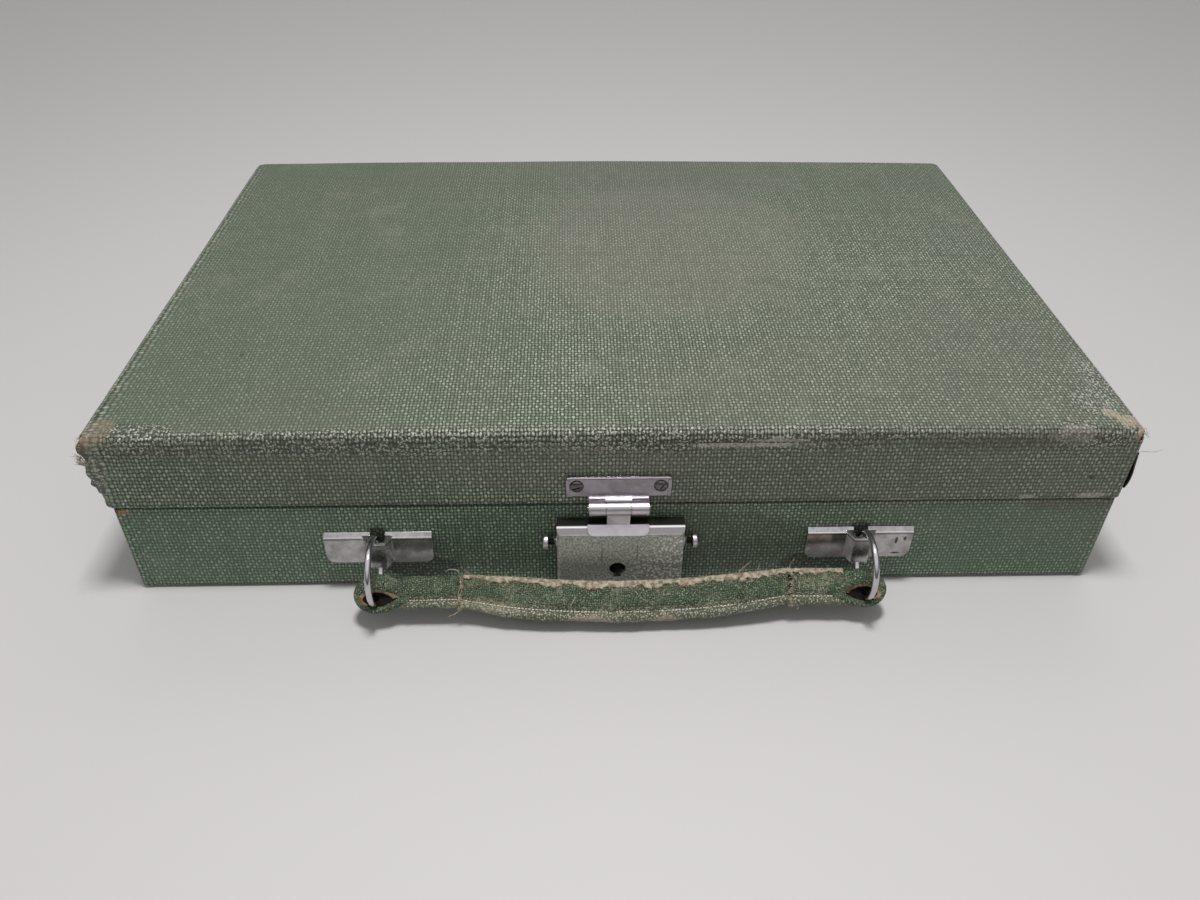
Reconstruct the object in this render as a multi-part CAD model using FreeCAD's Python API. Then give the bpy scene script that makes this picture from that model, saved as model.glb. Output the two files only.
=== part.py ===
import FreeCAD
import Part
import os
from math import asin, cos, degrees, radians, sin, sqrt

# All sizes are in millimetres.
# The frame: X to the right, Y to the back, Z up, origin under the middle of the case.

# Case shell
case_width = 330.0
case_depth = 220.0
case_height = 65.0
seam_height = 36.5
seam_gap = 0.4
lid_overhang = 0.5
board = 4.0
panel = 2.8
cloth = 0.6
corner_radius = 4.0
top_edge_radius = 3.0
bottom_edge_radius = 1.8

# Collar strips that guide the lid, and linings
collar_thickness = 1.6
collar_rise = 5.0
collar_clearance = 0.5
floor_lining = 1.2
wall_lining = 0.4
lid_lining = 1.6

# Mirror in the lid
mirror_width = 200.0
mirror_depth = 120.0
mirror_thickness = 2.0
mirror_frame_width = 9.0
mirror_frame_lap = 4.0
mirror_frame_thickness = 3.4
lining_above_collar = 1.5

# General fits
running_fit = 0.05
seat_gap = 0.1
button_travel = 1.8

# Rear hinges
hinge_x = 105.0
hinge_width = 40.0
hinge_leaf_height = 13.0
hinge_leaf_thickness = 1.0
hinge_barrel_radius = 2.5
hinge_pin_radius = 1.1
hinge_knuckle_gap = 0.25
hinge_screw_x = 13.0
hinge_screw_drop = 8.5
hinge_corner_radius = 2.0
hinge_pin_overhang = 0.6
hinge_screw_turns = (20, 75, 140, 100)

# Screws and rivets
screw_head_radius = 2.3
screw_head_height = 1.2
screw_shank_radius = 1.1
screw_length = 3.4
screw_slot_width = 0.6
screw_slot_depth = 0.5
rivet_head_radius = 1.8
rivet_head_height = 0.7
rivet_shank_radius = 0.8
rivet_bite = 1.2

# Hasp on the lid's front
hasp_x = -1.1
hasp_plate_width = 34.0
hasp_plate_rise = 4.2
hasp_plate_height = 8.4
hasp_plate_thickness = 0.8
hasp_rim_width = 1.1
hasp_rim_rise = 0.5
hasp_corner_radius = 1.4
hasp_tab_width = 20.0
hasp_tab_rise = 0.8
hasp_screw_x = 13.6
hasp_axis_rise = 0.5
hasp_barrel_radius = 2.5
hasp_barrel_left_step = 0.4
hasp_barrel_right_step = 0.1
hasp_pin_overhang = 0.3
hasp_screw_turns = (15, 60)
hasp_pin_radius = 0.9
hasp_centre_knuckle = 8.1
hasp_knuckle_gap = 0.15
hasp_clearance = 0.5
flap_thickness = 0.9
flap_neck_width = 7.6
flap_width = 20.2
flap_corner_radius = 2.0
flap_seat_gap = 0.25
flap_reach = 3.7
flap_neck_step = 0.9
flap_neck_drop = 1.2
flap_neck_thickness = 1.2
staple_thickness = 2.2
staple_way_gap = 0.35
staple_wall = 1.2

# Lock on the base's front
lock_x = -0.2
lock_width = 42.4
lock_height = 23.6
lock_below_seam = 6.3
lock_depth = 6.0
lock_wall = 0.7
lock_bevel_depth = 2.3
lock_bevel_drop = 2.4
lock_corner_radius = 1.6
lock_plate_thickness = 0.8
lock_collar_radius = 1.9
lock_collar_length = 0.8
lock_collar_root = 0.3
lock_rivet_x = 18.2
lock_rivet_rises = (3.0, 11.0)
keyhole_radius = 2.8
keyhole_slot = 2.6
keyhole_drop = 4.4
key_rise = 5.7
key_post_radius = 1.0
key_post_length = 4.9

# Buttons, bolts and lever inside the lock
button_drop = 7.9
button_head_radius = 2.5
button_head_thickness = 1.8
button_rim_radius = 0.7
button_stand = 0.3
stem_radius = 1.0
stem_offset = 2.85
bolt_thickness = 1.0
bolt_rear_offset = 1.7
bolt_front_offset = 3.0
bolt_height = 2.6
bolt_reach = 4.5
bolt_arm_width = 2.0
bolt_arm_drop = 1.5
bolt_nose_height = 0.6
bolt_nose_gap = 0.25
bolt_nose_room = 0.5
bolt_side_gap = 0.1
bolt_tab_x = 15.2
dog_width = 1.6
dog_gap = 0.4
spring_lug_x = 9.0
spring_lug_thickness = 0.8
spring_lug_stand = 3.6
spring_lug_margin = 0.3
spring_low_drop = 5.9
spring_high_drop = 3.3
spring_strip = 0.35
spring_near_offset = 1.8
spring_far_offset = 3.0
spring_folds = 3
spring_end_share = 0.04
lever_hub_radius = 2.3
lever_length = 5.0
lever_arm_width = 2.0
lever_near_offset = 1.8
lever_far_offset = 3.9
lever_rest_angle = 60.0

# Handle plates and rings
plate_x = 81.0
plate_width = 36.0
plate_height = 12.6
plate_z = 19.0
plate_rise = 2.0
plate_bevel = 1.5
plate_corner_radius = 3.0
bridge_width = 5.8
bridge_foot = 10.4
bridge_height = 11.0
bridge_wall = 1.0
bridge_wire_gap = 0.3
tunnel_width = 4.8
ring_radius = 10.8
ring_wire_radius = 1.05
ring_wall_gap = 0.35
plate_rivet_x = 11.0

# Handle at rest
handle_tilt = 35.0
handle_width = 13.0
handle_thickness = 6.0
handle_hang_angle = 24.4
eye_slack = 0.53
handle_edge_radius = 2.6
handle_bow_out = 2.9
handle_bow_down = 2.5
core_width = 9.6
core_thickness = 2.2
core_half_length = 70.0
core_edge_radius = 0.6
grip_middle_x = 1.5
grip_half_length = 54.0
grip_joint_gap = 1.5
end_sleeve_outer_x = 70.0
eye_inner_x = 66.0
eye_middle_x = 81.0
eye_end_radius = 7.2
eye_thickness = 4.6
eye_hole_radius = 3.2
eye_hole_across = 2.0
eye_hole_point_x = 73.4
eye_lip_shift = 0.7
eye_point_shift = 0.4

# Stay ribbons
ribbon_width = 12.0
ribbon_thickness = 0.6
ribbon_reach = 90.0
ribbon_fold_reach = 52.0
ribbon_spread = 8.0
ribbon_ear = 12.0
ribbon_ear_gap = 3.5
ribbon_tack_share = 0.45
tack_share_collar = 0.8
tack_share_board = 0.4

# Derived planes and places
front = -case_depth / 2
rear = case_depth / 2
lid_front = front - lid_overhang
lid_rear = rear + lid_overhang
base_top = seam_height - seam_gap / 2
lid_low = seam_height + seam_gap / 2
base_floor = cloth + panel
lid_ceiling = case_height - cloth - panel
inner_x = case_width / 2 - cloth - board
inner_y = case_depth / 2 - cloth - board
collar_x = case_width / 2 + lid_overhang - cloth - board - collar_clearance
collar_y = case_depth / 2 + lid_overhang - cloth - board - collar_clearance
hinge_y = lid_rear + hinge_barrel_radius + seat_gap
hasp_y = lid_front - hasp_barrel_radius - seat_gap
hasp_axis_z = seam_height + hasp_axis_rise
hasp_plate_low = seam_height + hasp_plate_rise
hasp_plate_high = hasp_plate_low + hasp_plate_height
hasp_screw_z = (hasp_plate_low + hasp_plate_high) / 2
lock_high = seam_height - lock_below_seam
lock_low = lock_high - lock_height
key_z = lock_low + key_rise
keyhole_low = key_z - keyhole_drop
button_z = lock_high - button_drop
bolt_arm_high = lock_high - bolt_arm_drop
spring_low = lock_high - spring_low_drop
spring_high = lock_high - spring_high_drop
ring_offset = ring_wall_gap + ring_wire_radius + ring_radius
eye_reach = ring_radius - eye_slack
handle_end_offset = (ring_offset + eye_reach * sin(radians(handle_hang_angle))
                     - eye_hole_across * cos(radians(handle_tilt)))
handle_end_z = (plate_z - eye_reach * cos(radians(handle_hang_angle))
                + eye_hole_across * sin(radians(handle_tilt)))

UP = FreeCAD.Vector(0, 0, 1)
BACK = FreeCAD.Vector(0, 1, 0)
RIGHT = FreeCAD.Vector(1, 0, 0)


def vec(x, y, z):
    return FreeCAD.Vector(x, y, z)


def block(x0, x1, y0, y1, z0, z1):
    """A box between two corners."""
    return Part.makeBox(x1 - x0, y1 - y0, z1 - z0, vec(x0, y0, z0))


def rod(radius, start, end):
    """A round bar from one point to another."""
    along = end - start
    return Part.makeCylinder(radius, along.Length, start, along)


def polygon(points):
    """A flat face through the given points."""
    return Part.Face(Part.makePolygon(points + [points[0]]))


def prism(points, along):
    """A flat outline pushed along a vector."""
    return polygon(points).extrude(along)


def rounded_slab(width, depth, radius, low, high):
    """A flat slab with round upright corners, centred on the case."""
    slab = block(-width / 2, width / 2, -depth / 2, depth / 2, low, high)
    upright = [e for e in slab.Edges if abs(e.tangentAt(e.FirstParameter).z) > 0.99]
    return slab.makeFillet(radius, upright)


def edges_at_height(shape, height):
    """The edges that lie level at one height."""
    return [e for e in shape.Edges if all(abs(v.Z - height) < 1e-6 for v in e.Vertexes)]


def mirror_x(shape):
    """The same shape on the other side of the case's middle."""
    return shape.mirror(vec(0, 0, 0), RIGHT)


def on_front(offset):
    """Y of a plane that stands off the base's front face by the offset."""
    return front - offset


def save(name, *solids):
    """Write one sub-part, one solid or a group of like solids."""
    shape = solids[0] if len(solids) == 1 else Part.makeCompound(list(solids))
    shape.exportStep("parts/" + name + ".step")


def screw(place, outward, slot_angle):
    """A round-head screw: its head stands outward of the place, its shank goes inward."""
    head = Part.makeSphere(screw_head_radius, vec(0, 0, 0), UP, 0, 90, 360)
    head = head.common(Part.makeCylinder(screw_head_radius, screw_head_radius))
    squash = FreeCAD.Matrix()
    squash.A33 = screw_head_height / screw_head_radius
    head = head.transformGeometry(squash)
    slot = block(-screw_head_radius, screw_head_radius, -screw_slot_width / 2, screw_slot_width / 2,
                 screw_head_height - screw_slot_depth, screw_head_height + 1)
    slot.rotate(vec(0, 0, 0), UP, slot_angle)
    shank = Part.makeCylinder(screw_shank_radius, screw_length, vec(0, 0, -screw_length))
    made = head.cut(slot).fuse(shank).removeSplitter()
    turn = FreeCAD.Rotation(UP, outward)
    made.Placement = FreeCAD.Placement(place, turn)
    return made


def rivet(place, outward, length):
    """A flat-head rivet: its head stands outward of the place, its shank goes inward."""
    head = Part.makeCylinder(rivet_head_radius, rivet_head_height)
    shank = Part.makeCylinder(rivet_shank_radius, length, vec(0, 0, -length))
    made = head.fuse(shank).removeSplitter()
    made.Placement = FreeCAD.Placement(place, FreeCAD.Rotation(UP, outward))
    return made


def hole(place, outward, radius, depth):
    """A cutter for a round hole that starts outside the place and goes inward."""
    start = place + outward * 2
    return rod(radius + running_fit, start, place - outward * (depth + running_fit))


def drill(shape, places, outward, radius, depth):
    """The shape with a round hole at each place."""
    for place in places:
        shape = shape.cut(hole(place, outward, radius, depth))
    return shape


# Places of the fasteners

def handle_rivet_places():
    places = []
    for side in (-1, 1):
        for wing in (-1, 1):
            places.append(vec(side * plate_x + wing * plate_rivet_x, front + cloth + board, plate_z))
    return places


def handle_rivet_length():
    """From the inner face of the front wall, through it and into the handle plate."""
    return board + cloth + rivet_bite


def lock_rivet_places():
    y = on_front(lock_plate_thickness)
    sides = (lock_x - lock_rivet_x, lock_x + lock_rivet_x)
    return [vec(x, y, lock_low + rise) for x in sides for rise in lock_rivet_rises]


def hinge_screw_places(direction, wall_y):
    y = wall_y + hinge_leaf_thickness
    places = []
    for side in (-1, 1):
        for end in (-1, 1):
            x = side * hinge_x + end * hinge_screw_x
            places.append(vec(x, y, seam_height + direction * hinge_screw_drop))
    return places


def hasp_screw_places():
    y = lid_front - hasp_plate_thickness
    return [vec(hasp_x + side * hasp_screw_x, y, hasp_screw_z) for side in (-1, 1)]


# Shell of the case

def edge_round(wanted):
    """The wanted outer edge radius, limited by the panel's thickness and the corner's radius."""
    return min(wanted, cloth + panel * 0.95, corner_radius * 0.95)


def cloth_band(width, depth, low, high, edge_radius, at_top):
    """The cloth round the four walls, turned in over one outer edge."""
    outer = rounded_slab(width, depth, corner_radius, low, high)
    inner_low = low + cloth if not at_top else low
    inner_high = high - cloth if at_top else high
    inner = rounded_slab(width - 2 * cloth, depth - 2 * cloth, corner_radius - cloth, inner_low, inner_high)
    edge = high if at_top else low
    inner_edge = inner_high if at_top else inner_low
    outer = outer.makeFillet(edge_radius, edges_at_height(outer, edge))
    inner = inner.makeFillet(edge_radius - cloth, edges_at_height(inner, inner_edge))
    window = rounded_slab(width - 2 * edge_radius, depth - 2 * edge_radius,
                          corner_radius - edge_radius, low - 1, high + 1)
    return outer.cut(inner).cut(window)


def wall_pair(length, wall_y, low, high):
    """A front and a rear wall with round outer corners; wall_y is their outer face."""
    wall = block(-length / 2, length / 2, -wall_y, -wall_y + board, low, high)
    upright = [e for e in wall.Edges
               if abs(e.tangentAt(e.FirstParameter).z) > 0.99 and abs(e.Vertexes[0].Y + wall_y) < 1e-6]
    wall = wall.makeFillet(corner_radius - cloth, upright)
    return wall, wall.mirror(vec(0, 0, 0), BACK)


def side_pair(wall_x, length, low, high):
    """A left and a right wall between the other two; wall_x is their outer face."""
    wall = block(-wall_x, -wall_x + board, -length / 2, length / 2, low, high)
    return wall, mirror_x(wall)


def rounded_panel(width, depth, low, high, edge_radius, at_top):
    """The flat board of the bottom or the top, with its outer edge rounded."""
    slab = rounded_slab(width - 2 * cloth, depth - 2 * cloth, corner_radius - cloth, low, high)
    return slab.makeFillet(edge_radius - cloth, edges_at_height(slab, high if at_top else low))


def make_base_shell():
    width = case_width
    depth = case_depth
    edge = edge_round(bottom_edge_radius)
    save("base_bottom_board", rounded_panel(width, depth, cloth, base_floor, edge, False))
    front_wall, rear_wall = wall_pair(width - 2 * cloth, depth / 2 - cloth, base_floor, base_top)
    left_wall, right_wall = side_pair(width / 2 - cloth, depth - 2 * (cloth + board), base_floor, base_top)
    band = cloth_band(width, depth, 0, base_top, edge, False)
    rivets = handle_rivet_places()
    head_room = rivet_head_height + running_fit
    front_wall = drill(front_wall, rivets, BACK, rivet_shank_radius, handle_rivet_length())
    for place in rivets:
        start = place + BACK
        end = place - BACK * head_room
        front_wall = front_wall.cut(rod(rivet_head_radius + running_fit, start, end))
    band = drill(band, rivets, BACK, rivet_shank_radius, handle_rivet_length())
    lock_length = screw_length + lock_plate_thickness
    front_wall = drill(front_wall, lock_rivet_places(), -BACK, rivet_shank_radius, lock_length)
    band = drill(band, lock_rivet_places(), -BACK, rivet_shank_radius, lock_length)
    hinge_places = hinge_screw_places(-1, rear)
    rear_wall = drill(rear_wall, hinge_places, BACK, screw_shank_radius, screw_length)
    band = drill(band, hinge_places, BACK, screw_shank_radius, screw_length)
    save("base_front_wall", front_wall)
    save("base_rear_wall", rear_wall)
    save("base_left_wall", left_wall)
    save("base_right_wall", right_wall)
    save("base_wall_cloth", band)
    flat_cloth = rounded_slab(width - 2 * edge, depth - 2 * edge, corner_radius - edge, 0, cloth)
    save("base_bottom_cloth", flat_cloth)
    floor_x = inner_x - collar_thickness - seat_gap
    floor_y = inner_y - collar_thickness - seat_gap
    lining_top = base_floor + floor_lining
    save("base_floor_lining", block(-floor_x, floor_x, -floor_y, floor_y, base_floor, lining_top))


def make_collar():
    """Four thin strips inside the base walls; the lid comes down over them."""
    high = base_top + collar_rise
    front_strip = block(-collar_x, collar_x, -collar_y, -collar_y + collar_thickness, base_floor, high)
    side_y = collar_y - collar_thickness
    side_strip = block(-collar_x, -collar_x + collar_thickness, -side_y, side_y, base_floor, high)
    tacks = ribbon_tack_places(-1)
    left_strip = side_strip.cut(hole(tacks[0], RIGHT, rivet_shank_radius, tack_length(-1)))
    save("collar_front", front_strip)
    save("collar_rear", front_strip.mirror(vec(0, 0, 0), BACK))
    save("collar_left", left_strip)
    save("collar_right", mirror_x(left_strip))


def make_lid_shell():
    width = case_width + 2 * lid_overhang
    depth = case_depth + 2 * lid_overhang
    edge = edge_round(top_edge_radius)
    save("lid_top_board", rounded_panel(width, depth, lid_ceiling, case_height - cloth, edge, True))
    front_wall, rear_wall = wall_pair(width - 2 * cloth, depth / 2 - cloth, lid_low, lid_ceiling)
    left_wall, right_wall = side_pair(width / 2 - cloth, depth - 2 * (cloth + board), lid_low, lid_ceiling)
    band = cloth_band(width, depth, lid_low, case_height, edge, True)
    front_wall = drill(front_wall, hasp_screw_places(), -BACK, screw_shank_radius, screw_length)
    band = drill(band, hasp_screw_places(), -BACK, screw_shank_radius, screw_length)
    hinge_places = hinge_screw_places(1, lid_rear)
    rear_wall = drill(rear_wall, hinge_places, BACK, screw_shank_radius, screw_length)
    band = drill(band, hinge_places, BACK, screw_shank_radius, screw_length)
    tack = ribbon_tack_places(1)[0]
    left_wall = left_wall.cut(hole(tack, RIGHT, rivet_shank_radius, tack_length(1)))
    right_wall = mirror_x(left_wall)
    save("lid_front_wall", front_wall)
    save("lid_rear_wall", rear_wall)
    save("lid_left_wall", left_wall)
    save("lid_right_wall", right_wall)
    save("lid_wall_cloth", band)
    save("lid_top_cloth", rounded_slab(width - 2 * edge, depth - 2 * edge, corner_radius - edge,
                                       case_height - cloth, case_height))


def make_lid_inside():
    """Lining board under the lid's top, lining round its walls, and the framed mirror."""
    lid_inner_x = inner_x + lid_overhang
    lid_inner_y = inner_y + lid_overhang
    save("lid_lining_board", block(-lid_inner_x + seat_gap, lid_inner_x - seat_gap,
                                   -lid_inner_y + seat_gap, lid_inner_y - seat_gap,
                                   lid_ceiling - lid_lining, lid_ceiling))
    low = base_top + collar_rise + lining_above_collar
    high = lid_ceiling - lid_lining
    outer = block(-lid_inner_x, lid_inner_x, -lid_inner_y, lid_inner_y, low, high)
    inner_half_x = lid_inner_x - wall_lining
    inner_half_y = lid_inner_y - wall_lining
    inner = block(-inner_half_x, inner_half_x, -inner_half_y, inner_half_y, low - 1, high + 1)
    lining = outer.cut(inner)
    tack = ribbon_tack_places(1)[0]
    cutter = hole(tack, RIGHT, rivet_shank_radius, tack_length(1))
    lining = lining.cut(cutter).cut(mirror_x(cutter))
    save("lid_wall_lining", lining)
    glass_high = high
    glass_low = glass_high - mirror_thickness
    save("mirror_glass", block(-mirror_width / 2, mirror_width / 2, -mirror_depth / 2, mirror_depth / 2,
                               glass_low, glass_high))
    frame_x = mirror_width / 2 + mirror_frame_width - mirror_frame_lap
    frame_y = mirror_depth / 2 + mirror_frame_width - mirror_frame_lap
    window_x = mirror_width / 2 - mirror_frame_lap
    window_y = mirror_depth / 2 - mirror_frame_lap
    frame = block(-frame_x, frame_x, -frame_y, frame_y, glass_high - mirror_frame_thickness, glass_high)
    frame = frame.cut(block(-window_x, window_x, -window_y, window_y, 0, case_height))
    rebate_x = mirror_width / 2 + seat_gap
    rebate_y = mirror_depth / 2 + seat_gap
    frame = frame.cut(block(-rebate_x, rebate_x, -rebate_y, rebate_y, glass_low, case_height))
    save("mirror_frame", frame)


# Rear hinges

def hinge_knuckle(centre_x, width, direction, wall_y):
    """One hinge knuckle with the piece of leaf that joins it to the wall."""
    half = width / 2
    left = centre_x - half
    start = vec(left, hinge_y, seam_height)
    barrel = rod(hinge_barrel_radius, start, start + RIGHT * width)
    reach = seam_height + direction * (hinge_barrel_radius + seat_gap)
    low = min(seam_height, reach)
    high = max(seam_height, reach)
    web = block(left, left + width, wall_y, wall_y + hinge_leaf_thickness, low, high)
    return barrel.fuse(web)


def hinge_leaf(side, direction, wall_y):
    """A hinge leaf flat on the rear wall; the base's has two outer knuckles, the lid's a middle one."""
    centre = side * hinge_x
    start = seam_height + direction * (hinge_barrel_radius + seat_gap)
    end = seam_height + direction * hinge_leaf_height
    leaf = block(centre - hinge_width / 2, centre + hinge_width / 2,
                 wall_y, wall_y + hinge_leaf_thickness, min(start, end), max(start, end))
    corners = [e for e in leaf.Edges
               if abs(e.tangentAt(e.FirstParameter).y) > 0.99 and abs(e.Vertexes[0].Z - end) < 1e-6]
    leaf = leaf.makeFillet(hinge_corner_radius, corners)
    knuckle = hinge_width / 3
    if direction < 0:
        places = [(-knuckle, knuckle), (knuckle, knuckle)]
    else:
        places = [(0, knuckle - 2 * hinge_knuckle_gap)]
    for shift, width in places:
        leaf = leaf.fuse(hinge_knuckle(centre + shift, width, direction, wall_y))
    bore = rod(hinge_pin_radius + running_fit, vec(centre - hinge_width, hinge_y, seam_height),
               vec(centre + hinge_width, hinge_y, seam_height))
    leaf = leaf.cut(bore).removeSplitter()
    return drill(leaf, hinge_screw_places(direction, wall_y), BACK, screw_shank_radius, screw_length)


def make_hinges():
    for side, word in ((-1, "left"), (1, "right")):
        save("hinge_base_leaf_" + word, hinge_leaf(side, -1, rear))
        save("hinge_lid_leaf_" + word, hinge_leaf(side, 1, lid_rear))
    pins = []
    half = hinge_width / 2 + hinge_pin_overhang
    for side in (-1, 1):
        start = vec(side * hinge_x - half, hinge_y, seam_height)
        pins.append(rod(hinge_pin_radius, start, start + RIGHT * (2 * half)))
    save("hinge_pins", *pins)
    for direction, wall_y, word in ((-1, rear, "base"), (1, lid_rear, "lid")):
        places = hinge_screw_places(direction, wall_y)
        save("hinge_" + word + "_screws", *[screw(p, BACK, a) for p, a in zip(places, hinge_screw_turns)])


# Hasp

def hasp_knuckle(left, right):
    return rod(hasp_barrel_radius, vec(left, hasp_y, hasp_axis_z), vec(right, hasp_y, hasp_axis_z))


def hasp_bore():
    return rod(hasp_pin_radius + running_fit, vec(hasp_x - hasp_plate_width, hasp_y, hasp_axis_z),
               vec(hasp_x + hasp_plate_width, hasp_y, hasp_axis_z))


def make_hasp_plate():
    """Plate screwed to the lid's front, with a raised rim and the two outer knuckles."""
    left = hasp_x - hasp_plate_width / 2
    right = hasp_x + hasp_plate_width / 2
    outer_y = lid_front - hasp_plate_thickness
    rim_y = outer_y - hasp_rim_rise
    plate = block(left, right, rim_y, lid_front, hasp_plate_low, hasp_plate_high)
    corners = [e for e in plate.Edges if abs(e.tangentAt(e.FirstParameter).y) > 0.99]
    plate = plate.makeFillet(hasp_corner_radius, corners)
    recess = block(left + hasp_rim_width, right - hasp_rim_width, rim_y - 1, outer_y,
                   hasp_plate_low - 1, hasp_plate_high - hasp_rim_width)
    plate = plate.cut(recess)
    tab_left = hasp_x - hasp_tab_width / 2
    tab_right = hasp_x + hasp_tab_width / 2
    centre_left = hasp_x - hasp_centre_knuckle / 2
    centre_right = hasp_x + hasp_centre_knuckle / 2
    barrel_left = tab_left + hasp_barrel_left_step
    barrel_right = tab_right - hasp_barrel_right_step
    tab_low = hasp_axis_z + hasp_tab_rise
    plate = plate.fuse(block(tab_left, tab_right, outer_y, lid_front, tab_low, hasp_plate_low + 1))
    gap_high = hasp_axis_z + hasp_barrel_radius + hasp_clearance
    plate = plate.cut(block(centre_left - hasp_knuckle_gap, centre_right + hasp_knuckle_gap,
                            outer_y - 1, lid_front + 1, tab_low - 1, gap_high))
    plate = plate.fuse(hasp_knuckle(barrel_left, centre_left - hasp_knuckle_gap))
    plate = plate.fuse(hasp_knuckle(centre_right + hasp_knuckle_gap, barrel_right))
    plate = plate.cut(hasp_bore()).removeSplitter()
    save("hasp_plate", drill(plate, hasp_screw_places(), -BACK, screw_shank_radius, screw_length))
    save("hasp_plate_screws", *[screw(p, -BACK, a) for p, a in zip(hasp_screw_places(), hasp_screw_turns)])
    pin_left = vec(barrel_left - hasp_pin_overhang, hasp_y, hasp_axis_z)
    pin_right = vec(barrel_right + hasp_pin_overhang, hasp_y, hasp_axis_z)
    save("hasp_pin", rod(hasp_pin_radius, pin_left, pin_right))


def bevel_point(along, inward):
    """A point by the lock's front bevel: along it downwards, and inward of it; gives (offset, z)."""
    length = sqrt(lock_bevel_depth ** 2 + lock_bevel_drop ** 2)
    out = lock_bevel_depth / length
    down = lock_bevel_drop / length
    offset = lock_depth - lock_bevel_depth + along * out - inward * down
    height = lock_high - along * down - inward * out
    return offset, height


def front_points(pairs, x):
    """Points on a plane across X from (offset, z) pairs."""
    return [vec(x, on_front(offset), z) for offset, z in pairs]


def make_flap():
    """The hinged flap: centre knuckle, neck, and the wide part that lies over the lock's bevel."""
    axis_offset = front - hasp_y
    low_in = bevel_point(flap_reach, -flap_seat_gap)
    low_out = bevel_point(flap_reach, -flap_seat_gap - flap_thickness)
    bend_in = bevel_point(-0.5, -flap_seat_gap)
    bend_out = bevel_point(-0.1, -flap_seat_gap - flap_thickness)
    neck_in = (axis_offset + flap_neck_step, hasp_axis_z - flap_neck_drop)
    neck_out = (neck_in[0] + flap_neck_thickness, neck_in[1])
    wide_side = front_points([bend_in, low_in, low_out, bend_out], hasp_x - flap_width / 2)
    wide = prism(wide_side, RIGHT * flap_width)
    corners = [e for e in wide.Edges
               if abs(e.tangentAt(e.FirstParameter).x) < 0.01 and e.Length < flap_thickness * 1.2
               and e.Vertexes[0].Z < lock_high - lock_bevel_drop / 2]
    wide = wide.makeFillet(flap_corner_radius, corners)
    neck = prism(front_points([neck_in, bend_in, bend_out, neck_out], hasp_x - flap_neck_width / 2),
                 RIGHT * flap_neck_width)
    half = hasp_centre_knuckle / 2
    flap = hasp_knuckle(hasp_x - half, hasp_x + half).fuse(neck).fuse(wide)
    save("hasp_flap", flap.cut(hasp_bore()).removeSplitter())


def staple_outline():
    """Side outline of the staple under the flap, as (offset, z) pairs, round the bolts' window."""
    near, far, low, high = staple_window()
    top_out = bevel_point(-1.0, -flap_seat_gap)
    low_out = bevel_point(2.0, -flap_seat_gap)
    foot = low - staple_wall / 2
    return [top_out, low_out, (far + staple_wall / 2, foot + 0.2), (near - 0.25, foot),
            (near - staple_wall / 2, low + staple_wall / 2), (near - 0.35, lock_high - 0.1)]


def staple_window():
    """The staple's window for the bolt noses: nearest and farthest offset, then lowest and highest Z."""
    near = bolt_rear_offset - bolt_side_gap
    far = bolt_front_offset + bolt_thickness + bolt_side_gap
    low = bolt_arm_high - bolt_nose_height - bolt_side_gap
    high = bolt_arm_high + bolt_nose_room
    return near, far, low, high


def make_staple():
    left = hasp_x - staple_thickness / 2
    body = prism(front_points(staple_outline(), left), RIGHT * staple_thickness)
    near, far, low, high = staple_window()
    window = block(left - 1, left + staple_thickness + 1, on_front(far), on_front(near), low, high)
    save("hasp_staple", body.cut(window))


# Lock

def lock_profile(inset, low, high):
    """Side outline of the lock case with its front bevel, drawn in by the inset, as (offset, z) pairs."""
    length = sqrt(lock_bevel_depth ** 2 + lock_bevel_drop ** 2)
    out = lock_bevel_depth / length
    down = lock_bevel_drop / length
    face = lock_depth - inset
    top = high - inset
    bevel_top = lock_depth - lock_bevel_depth - inset * (1 - out) / down
    bevel_low = high - lock_bevel_drop - inset * (1 - down) / out
    return [(0, low + inset), (face, low + inset), (face, bevel_low), (bevel_top, top), (0, top)]


def make_lock_case():
    left = lock_x - lock_width / 2
    outer = prism(front_points(lock_profile(0, lock_low, lock_high), left), RIGHT * lock_width)
    rounded = [e for e in outer.Edges
               if abs(e.tangentAt(e.FirstParameter).z) > 0.99
               and abs(e.Vertexes[0].Y - on_front(lock_depth)) < 1e-6]
    outer = outer.makeFillet(lock_corner_radius, rounded)
    inner_width = lock_width - 2 * lock_wall
    inner = prism(front_points(lock_profile(lock_wall, lock_low, lock_high), left + lock_wall),
                  RIGHT * inner_width)
    for side in (-1, 1):
        face = lock_x + side * lock_width / 2
        start = vec(face - side * lock_collar_root, on_front(stem_offset), button_z)
        end = vec(face + side * lock_collar_length, on_front(stem_offset), button_z)
        outer = outer.fuse(rod(lock_collar_radius, start, end))
    case = outer.cut(inner)
    stem_start = vec(left - lock_width, on_front(stem_offset), button_z)
    stem_end = vec(left + 2 * lock_width, on_front(stem_offset), button_z)
    case = case.cut(rod(stem_radius + running_fit, stem_start, stem_end))
    face_out = on_front(lock_depth + 1)
    face_in = on_front(lock_depth / 2)
    keyhole = rod(keyhole_radius, vec(hasp_x, face_out, key_z), vec(hasp_x, face_in, key_z))
    slot = block(hasp_x - keyhole_slot / 2, hasp_x + keyhole_slot / 2, face_out, face_in, keyhole_low, key_z)
    case = case.cut(keyhole).cut(slot)
    slot_half = staple_thickness / 2 + staple_way_gap
    staple_way_low = staple_window()[2] - staple_wall / 2
    staple_way = block(hasp_x - slot_half, hasp_x + slot_half,
                       face_out, on_front(lock_wall), staple_way_low, lock_high + 1)
    save("lock_case", case.cut(staple_way).removeSplitter())


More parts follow.
